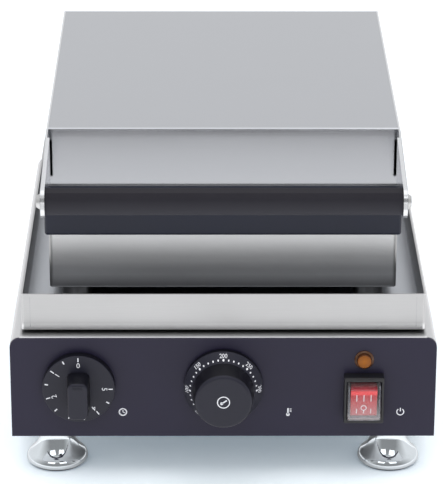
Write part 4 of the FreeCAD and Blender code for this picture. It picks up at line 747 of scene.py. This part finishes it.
# %% Tray seams, lid reliefs and the bright strip on the upper plate
SEAM_INSET, SEAM_END, SEAM_WIDTH = 6.4, 2.4, 0.35
RELIEF_INSET, RELIEF_BELOW_TOP, RELIEF_RADIUS = 1.1, 1.5, 0.6
MARK_FILM = 0.03 * MM
RIM_INSET, RIM_SETBACK, RIM_BEVEL = 2 * MM, 0.9 * MM, 0.02 * MM
RIM_GAP, RIM_FILM = 0.01 * MM, 0.05 * MM
tray_middle = middle_of("drip_tray")
seam_reach = (tray_high.z - tray_low.z) / 2 / MM - SEAM_END
seam_side = (tray_high.x - tray_low.x) / 2 / MM - SEAM_INSET
print_on("tray_seams", "drip_tray", "base", hinge_steel, (tray_middle.x, tray_middle.z),
         [moved(bar(SEAM_WIDTH, -seam_reach, seam_reach), x=side * seam_side) for side in (-1, 1)],
         film=MARK_FILM)
lid_low, lid_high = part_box("lid_casing")
relief_side = (lid_high.x - lid_low.x) / 2 / MM - RELIEF_INSET
relief_height = lid_high.z - RELIEF_BELOW_TOP * MM
print_on("lid_reliefs", "lid_casing", "lid", socket_black, (0.0, relief_height),
         [moved(disc(RELIEF_RADIUS), x=side * relief_side) for side in (-1, 1)], film=MARK_FILM)
# The bright strip stands in for the ledge's reflection of the lid front and covers the shade under the lid.
plate_low, plate_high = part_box("upper_plate")
rim_low = Vector((plate_low.x + RIM_INSET, plate_low.y + RIM_SETBACK, lid_low.z + RIM_GAP))
rim_high = Vector((plate_high.x - RIM_INSET, lid_low.y - RIM_FILM, rim_low.z + RIM_FILM))
rim = bmesh.new()
rim_place = Matrix.LocRotScale((rim_low + rim_high) / 2, None, rim_high - rim_low)
bmesh.ops.create_cube(rim, size=1.0, matrix=rim_place)
bmesh.ops.bevel(rim, geom=rim.edges[:], offset=RIM_BEVEL, segments=2, affect="EDGES")
finish_piece("upper_plate_rim", rim, "lid", ground_aluminium)

# %% [markdown]
# ## Geometry Nodes for what repeats
# The waffle lattice, the screw sockets and the ribs of the cable gland are each one small shape many times
# over. A Geometry Nodes tree holds the rule, its named inputs hold the sizes, and the same tree serves
# several bodies. Each result is kept as a plain mesh, so that nothing has to be worked out again when the
# appliance moves.

# %% Run a tree once and keep its mesh
GEOMETRY = "NodeSocketGeometry"


def grow(name, tree, points, body, slot, **values):
    """Run a Geometry Nodes tree on points, with these inputs, and keep the result as a plain piece."""
    seed = bpy.data.meshes.new(name)
    seed.from_pydata(points, [], [])
    piece = bpy.data.objects.new(name, seed)
    bpy.context.scene.collection.objects.link(piece)
    modifier = piece.modifiers.new("rule", "NODES")
    modifier.node_group = tree
    sockets = {item.name: item.identifier for item in tree.interface.items_tree if item.in_out == "INPUT"}
    for label, value in values.items():
        modifier[sockets[label.replace("_", " ").capitalize()]] = value
    result = bpy.data.meshes.new_from_object(piece.evaluated_get(bpy.context.evaluated_depsgraph_get()))
    result.name = name
    piece.modifiers.remove(modifier)
    piece.data = result
    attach(piece, body)
    print(name, len(result.polygons), "faces on", body)


def on_points(tree, points, instance, **inputs):
    """Copies of one shape, one on each point."""
    return add_node(tree, "GeometryNodeInstanceOnPoints",
                    {"Points": points, "Instance": instance, **inputs}).outputs[0]


def close_tree(tree, sink, geometry, material):
    """Make the copies real, give them their finish, and end the tree."""
    real = add_node(tree, "GeometryNodeRealizeInstances", {"Geometry": geometry}).outputs[0]
    finished = add_node(tree, "GeometryNodeSetMaterial", {"Geometry": real, "Material": material}).outputs[0]
    tree.links.new(finished, sink.inputs[0])
    return tree


# %% [markdown]
# ## Waffle lattice
# A cone's pattern is a crossing of fine ridges at 45 degrees inside a round cavity. One ridge is a short
# length of a trapezium profile. Copies stand side by side on a line of points, and each is stretched to the
# chord of the circle at its place: a point at distance x from the middle has a chord of 2 * sqrt(r * r - x
# * x). The row is then turned by +45 and -45 degrees. The lower plate's lattice stands up and the upper
# plate's hangs down, so the lid can close.


# %% Lattice tree
def make_lattice_tree(material):
    tree, source, sink = new_tree("waffle lattice", "GeometryNodeTree",
                                  [("Geometry", GEOMETRY, None), ("Radius", FLOAT, 0.1),
                                   ("Pitch", FLOAT, 0.01), ("Ridge width", FLOAT, 0.002),
                                   ("Ridge height", FLOAT, 0.001), ("Middle", VECTOR, None),
                                   ("Upside down", FLOAT, 0.0)], [("Geometry", GEOMETRY)])
    radius, pitch = source.outputs["Radius"], source.outputs["Pitch"]
    width, height = source.outputs["Ridge width"], source.outputs["Ridge height"]
    half_count = math_node(tree, "FLOOR", math_node(tree, "DIVIDE", radius, pitch))
    count = math_node(tree, "SUBTRACT", product(tree, half_count, 2.0), 1.0)
    first = product(tree, math_node(tree, "SUBTRACT", half_count, 1.0), product(tree, pitch, -1.0))
    row = add_node(tree, "GeometryNodeMeshLine", {"Count": count, "Start Location": vector_of(tree, X=first),
                                                  "Offset": vector_of(tree, X=pitch)}).outputs[0]
    profile = add_node(tree, "GeometryNodeCurvePrimitiveQuadrilateral",
                       {"Height": height, "Bottom Width": width, "Top Width": product(tree, width, 0.45),
                        "Offset": 0.0}, mode="TRAPEZOID").outputs[0]
    line = add_node(tree, "GeometryNodeCurvePrimitiveLine", {"Start": (0, -0.5, 0), "End": (0, 0.5, 0)})
    ridge = add_node(tree, "GeometryNodeCurveToMesh", {"Curve": line.outputs[0], "Profile Curve": profile,
                                                       "Fill Caps": True}).outputs[0]
    across = axes_of(tree, add_node(tree, "GeometryNodeInputPosition").outputs[0])["X"]
    square = math_node(tree, "SUBTRACT", product(tree, radius, radius), product(tree, across, across))
    chord = product(tree, math_node(tree, "SQRT", square), 2.0)
    ridges = on_points(tree, row, ridge, Scale=vector_of(tree, X=1.0, Y=chord, Z=1.0))
    both_ways = add_node(tree, "GeometryNodeJoinGeometry")
    tip = product(tree, source.outputs["Upside down"], math.pi)
    for turn in (45, -45):
        angles = vector_of(tree, X=tip, Z=math.radians(turn))
        turned = add_node(tree, "GeometryNodeTransform", {"Geometry": ridges, "Rotation": angles,
                                                          "Translation": source.outputs["Middle"]})
        tree.links.new(turned.outputs[0], both_ways.inputs[0])
    return close_tree(tree, sink, both_ways.outputs[0], material)


# %% Lattice on both plates
CAVITY_RADIUS, CAVITY_DEPTH = 101.5 * MM, 1.2 * MM
RIDGE_PITCH, RIDGE_WIDTH, RIDGE_HEIGHT = 8.5 * MM, 2.2 * MM, 0.9 * CAVITY_DEPTH
lattice_tree = make_lattice_tree(plate_coat)
plate_middle = middle_of("lower_plate")
lower_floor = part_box("lower_plate")[1].z - CAVITY_DEPTH
upper_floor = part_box("upper_plate")[0].z + CAVITY_DEPTH
for name, body, height, upside_down in (("lower_lattice", "base", lower_floor + RIDGE_HEIGHT / 2, 0.0),
                                        ("upper_lattice", "lid", upper_floor - RIDGE_HEIGHT / 2, 1.0)):
    grow(name, lattice_tree, [(0, 0, 0)], body, "plate_coating", radius=CAVITY_RADIUS, pitch=RIDGE_PITCH,
         ridge_width=RIDGE_WIDTH, ridge_height=RIDGE_HEIGHT, middle=(0, plate_middle.y, height),
         upside_down=upside_down)

# %% [markdown]
# ## Screw sockets
# A screw set is one CAD node with several screws in it. Walking over connected faces finds each screw, and
# the end of its head is where a dark six-sided socket goes. The tree lays one such socket on every point it
# gets, facing a way that is the same for the whole set.


# %% Socket tree
def make_socket_tree(material):
    tree, source, sink = new_tree("hexagon sockets", "GeometryNodeTree",
                                  [("Geometry", GEOMETRY, None), ("Socket radius", FLOAT, 0.002),
                                   ("Socket depth", FLOAT, 0.0002), ("Facing", VECTOR, None)],
                                  [("Geometry", GEOMETRY)])
    socket = add_node(tree, "GeometryNodeMeshCylinder",
                      {"Vertices": 6, "Radius": source.outputs["Socket radius"],
                       "Depth": source.outputs["Socket depth"]}).outputs[0]
    turn = add_node(tree, "FunctionNodeAlignRotationToVector", {"Vector": source.outputs["Facing"]}, axis="Z")
    sockets = on_points(tree, source.outputs["Geometry"], socket, Rotation=turn.outputs[0])
    return close_tree(tree, sink, sockets, material)


def islands(node):
    """The boxes of a node's separate solids, in the order of their lower corners."""
    work = bmesh.new()
    work.from_mesh(nodes[node].data)
    bmesh.ops.remove_doubles(work, verts=work.verts, dist=1e-6)
    waiting = set(work.verts)
    boxes = []
    while waiting:
        front = [waiting.pop()]
        found = list(front)
        while front:
            near = {edge.other_vert(vertex) for vertex in front for edge in vertex.link_edges} & waiting
            waiting -= near
            front = list(near)
            found += front
        boxes.append([tuple(pick(vertex.co[axis] for vertex in found) for axis in range(3))
                      for pick in (min, max)])
    work.free()
    return sorted(boxes)


def head_ends(node, facing):
    """The middle of each screw's outer end on the side it faces."""
    ends = []
    for low, high in islands(node):
        end = (Vector(low) + Vector(high)) / 2
        for axis in range(3):
            if facing[axis]:
                end[axis] = high[axis] if facing[axis] > 0 else low[axis]
        ends.append(end)
    return ends


# %% Sockets on the screws that show
SOCKET_DEPTH = 0.12 * MM
SOCKET_SETS = (("handle_screws", "lid", (-1, 0, 0), 2.4), ("handle_screws", "lid", (1, 0, 0), 2.4),
               ("hinge_bracket_screws", "base", (0, 0, 1), 1.5), ("cover_screws", "base", (0, 0, -1), 1.7))
socket_tree = make_socket_tree(socket_black)
for node, body, facing, radius in SOCKET_SETS:
    ends = [end for end in head_ends(node, facing) if end.x * facing[0] >= 0]
    side = {-1: "_left", 0: "", 1: "_right"}[facing[0]]
    grow(f"{node}_sockets{side}", socket_tree, ends, body, "screw_steel", socket_radius=radius * MM,
         socket_depth=SOCKET_DEPTH, facing=facing)

# %% [markdown]
# ## Cable gland ribs
# A gland is tightened by hand, so its nose has fine ribs all round. A circle of points carries one thin rib
# each, turned to face outwards.


# %% Rib tree and the gland's ribs
def make_rib_tree(material):
    tree, source, sink = new_tree("ribs round an axis", "GeometryNodeTree",
                                  [("Geometry", GEOMETRY, None), ("Ribs", "NodeSocketInt", 20),
                                   ("Radius", FLOAT, 0.01), ("Rib size", VECTOR, None),
                                   ("Middle", VECTOR, None)], [("Geometry", GEOMETRY)])
    circle = add_node(tree, "GeometryNodeMeshCircle", {"Vertices": source.outputs["Ribs"],
                                                       "Radius": source.outputs["Radius"]}).outputs[0]
    place = add_node(tree, "GeometryNodeInputPosition").outputs[0]
    outwards = add_node(tree, "FunctionNodeAlignRotationToVector", {"Vector": place}, axis="X").outputs[0]
    rib = add_node(tree, "GeometryNodeMeshCube", {"Size": source.outputs["Rib size"]}).outputs[0]
    ribs = on_points(tree, circle, rib, Rotation=outwards)
    lying = add_node(tree, "GeometryNodeTransform", {"Geometry": ribs, "Rotation": (math.radians(90), 0, 0),
                                                     "Translation": source.outputs["Middle"]}).outputs[0]
    return close_tree(tree, sink, lying, material)


COLLAR_RADIUS, COLLAR_LENGTH = 10.5 * MM, 5 * MM
COLLAR_RIBS, COLLAR_RIB_SIZE = 28, (0.6 * MM, 1.1 * MM, 0.8 * COLLAR_LENGTH)
collar_middle = middle_of("cable_gland")
collar_middle.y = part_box("rear_panel")[1].y + COLLAR_LENGTH / 2
grow("gland_ribs", make_rib_tree(switch_plastic), [(0, 0, 0)], "base", "switch_black", ribs=COLLAR_RIBS,
     radius=COLLAR_RADIUS, rib_size=COLLAR_RIB_SIZE, middle=collar_middle)

# %% [markdown]
# ## Painted highlights at the edges of the clear hood
# Clear film shows mainly at its edges, where light runs along it. Thin strips on the hood's front are painted
# highlights of that light, at both sides and twice below, in a milkier version of the film's own plastic.


# %% Painted edge highlights on the hood
def make_rail_material():
    material, tree, shader = material_with("hood_rail", roughness=0.2, ior=1.5, alpha=0.48)
    milk = mix_colour(tree, smudge_mask(tree, 300.0), (0.27, 0.27, 0.31, 1), (0.38, 0.38, 0.43, 1))
    tree.links.new(milk, shader.inputs["Base Color"])
    return material


HOOD_HALF_WIDTH, HOOD_HALF_HEIGHT, HOOD_CORNER = 11.2, 13.6, 0.3
cross_reach = HOOD_HALF_WIDTH - HOOD_CORNER
hood_middle = middle_of("switch_cover")
# Painted highlights: a strip along each side of the hood and two across its bottom.
hood_rails = [moved(bar(0.5, -HOOD_HALF_HEIGHT, HOOD_HALF_HEIGHT), x=side * HOOD_HALF_WIDTH)
              for side in (-1, 1)]
hood_rails += [moved(bar(0.4, -cross_reach, cross_reach), 90, y=rise - HOOD_HALF_HEIGHT)
               for rise in (0.0, 2.6)]
print_on("hood_rails", "switch_cover", "base", make_rail_material(),
         (hood_middle.x, hood_middle.z), hood_rails, film=0.12 * MM)

# %% [markdown]
# ## Floor and light
# The appliance stands on white paper. The paper is lit until it is white, and only under the base, where
# little light comes in, does it fall to a bluish grey; a faint blue glow that only the camera sees gives
# that tinge. Steel and chrome show the room around them: a white wall behind, a bright ceiling and a darker
# room in front, with a window of two panes. In the reflections the paper is bright near the appliance and
# far off, and dark in a band between, chosen to agree with the reflections in the photograph. Light Path
# tells what is seen from what gives light, so the room in the reflections can differ from the light on the
# surfaces.

# %% The paper
PAPER_EDGE = 8.0
PAPER_WHITE = (0.92, 0.95, 0.97, 1)
SHADE_BLUE, SHADE_LIFT = (0.45, 0.75, 1.0, 1), 0.135
MIRRORED_LEAST = 0.28
MIRRORED_STEPS = ((-0.90, -0.71, 0.345), (-0.62, -0.48, 0.20), (-1.05, -1.30, 0.45))


def make_paper():
    """White to the eye, with a blue lift in its shade; in reflections a grey that depends on the distance."""
    material = bpy.data.materials.new("floor_paper")
    material.use_nodes = True
    tree = material.node_tree
    tree.nodes.remove(tree.nodes["Principled BSDF"])
    path = add_node(tree, "ShaderNodeLightPath").outputs
    distance = axes_of(tree, own_place(tree))["Y"]
    grey = MIRRORED_LEAST
    for start, full, step in MIRRORED_STEPS:
        grey = math_node(tree, "ADD", grey, ramp(tree, distance, start, full, high=step))
    mirrored = add_node(tree, "ShaderNodeCombineColor", {"Red": grey, "Green": grey, "Blue": grey}).outputs[0]
    colour = mix_colour(tree, path["Is Glossy Ray"], PAPER_WHITE, mirrored)
    paper = add_node(tree, "ShaderNodeBsdfDiffuse", {"Color": colour})
    strength = product(tree, path["Is Camera Ray"], SHADE_LIFT)
    lift = add_node(tree, "ShaderNodeEmission", {"Color": SHADE_BLUE, "Strength": strength})
    both = add_node(tree, "ShaderNodeAddShader", {0: paper.outputs[0], 1: lift.outputs[0]})
    tree.links.new(both.outputs[0], tree.nodes["Material Output"].inputs["Surface"])
    return material


floor_mesh = bpy.data.meshes.new("floor")
paper_corners = [(x * PAPER_EDGE, y * PAPER_EDGE, 0) for x, y in ((-1, -1), (1, -1), (1, 1), (-1, 1))]
floor_mesh.from_pydata(paper_corners, [], [(0, 1, 2, 3)])
floor_mesh.materials.append(make_paper())
floor = bpy.data.objects.new("floor", floor_mesh)
bpy.context.scene.collection.objects.link(floor)
print("paper of", 2 * PAPER_EDGE, "metres each way")


# %% The room and the lamps
def make_room(light, wall, front, ceiling):
    """Soft light, most of it from above; reflections see a white wall, a dim front and a bright ceiling."""
    world = bpy.data.worlds.new("room")
    bpy.context.scene.world = world
    world.use_nodes = True
    tree = world.node_tree
    towards = axes_of(tree, add_node(tree, "ShaderNodeTexCoord").outputs["Generated"])
    depth = ramp(tree, towards["Y"], -0.70, 0.15, front, wall)
    room = mix_value(tree, ramp(tree, towards["Z"], 0.80, 0.97), depth, ceiling)
    path = add_node(tree, "ShaderNodeLightPath").outputs
    in_metal_or_glass = math_node(tree, "MAXIMUM", path["Is Glossy Ray"], path["Is Transmission Ray"])
    sky = spread(tree, towards["Z"], 0.6 * light, 1.35 * light)
    behind_all = mix_value(tree, in_metal_or_glass, sky, room)
    background = tree.nodes["Background"]
    background.inputs["Color"].default_value = (0.985, 0.993, 1.0, 1)
    tree.links.new(mix_value(tree, path["Is Camera Ray"], behind_all, 1.0), background.inputs["Strength"])


def add_lamp(name, place, aim, width, depth, power, mirrored):
    """A lamp that either lights the surfaces or only shows in their reflections."""
    data = bpy.data.lights.new(name, "AREA")
    data.shape = "RECTANGLE"
    data.size = width
    data.size_y = depth
    data.energy = power
    lamp = bpy.data.objects.new(name, data)
    lamp.location = place
    lamp.rotation_euler = (Vector(aim) - Vector(place)).to_track_quat("-Z", "Y").to_euler()
    lamp.visible_glossy = mirrored
    lamp.visible_diffuse = not mirrored
    bpy.context.scene.collection.objects.link(lamp)


make_room(light=1.10, wall=0.86, front=0.30, ceiling=1.25)
add_lamp("overhead", (0.0, -0.5, 1.9), (0.0, -0.2, 0.1), 2.2, 1.6, 20.0, mirrored=False)
for name, x in (("window_left", -0.86), ("window_right", 0.70)):
    add_lamp(name, (x, -1.75, 1.75), (0.0, 0.0, 0.1), 1.0, 0.8, 3.3, mirrored=True)
print("room and lamps made")
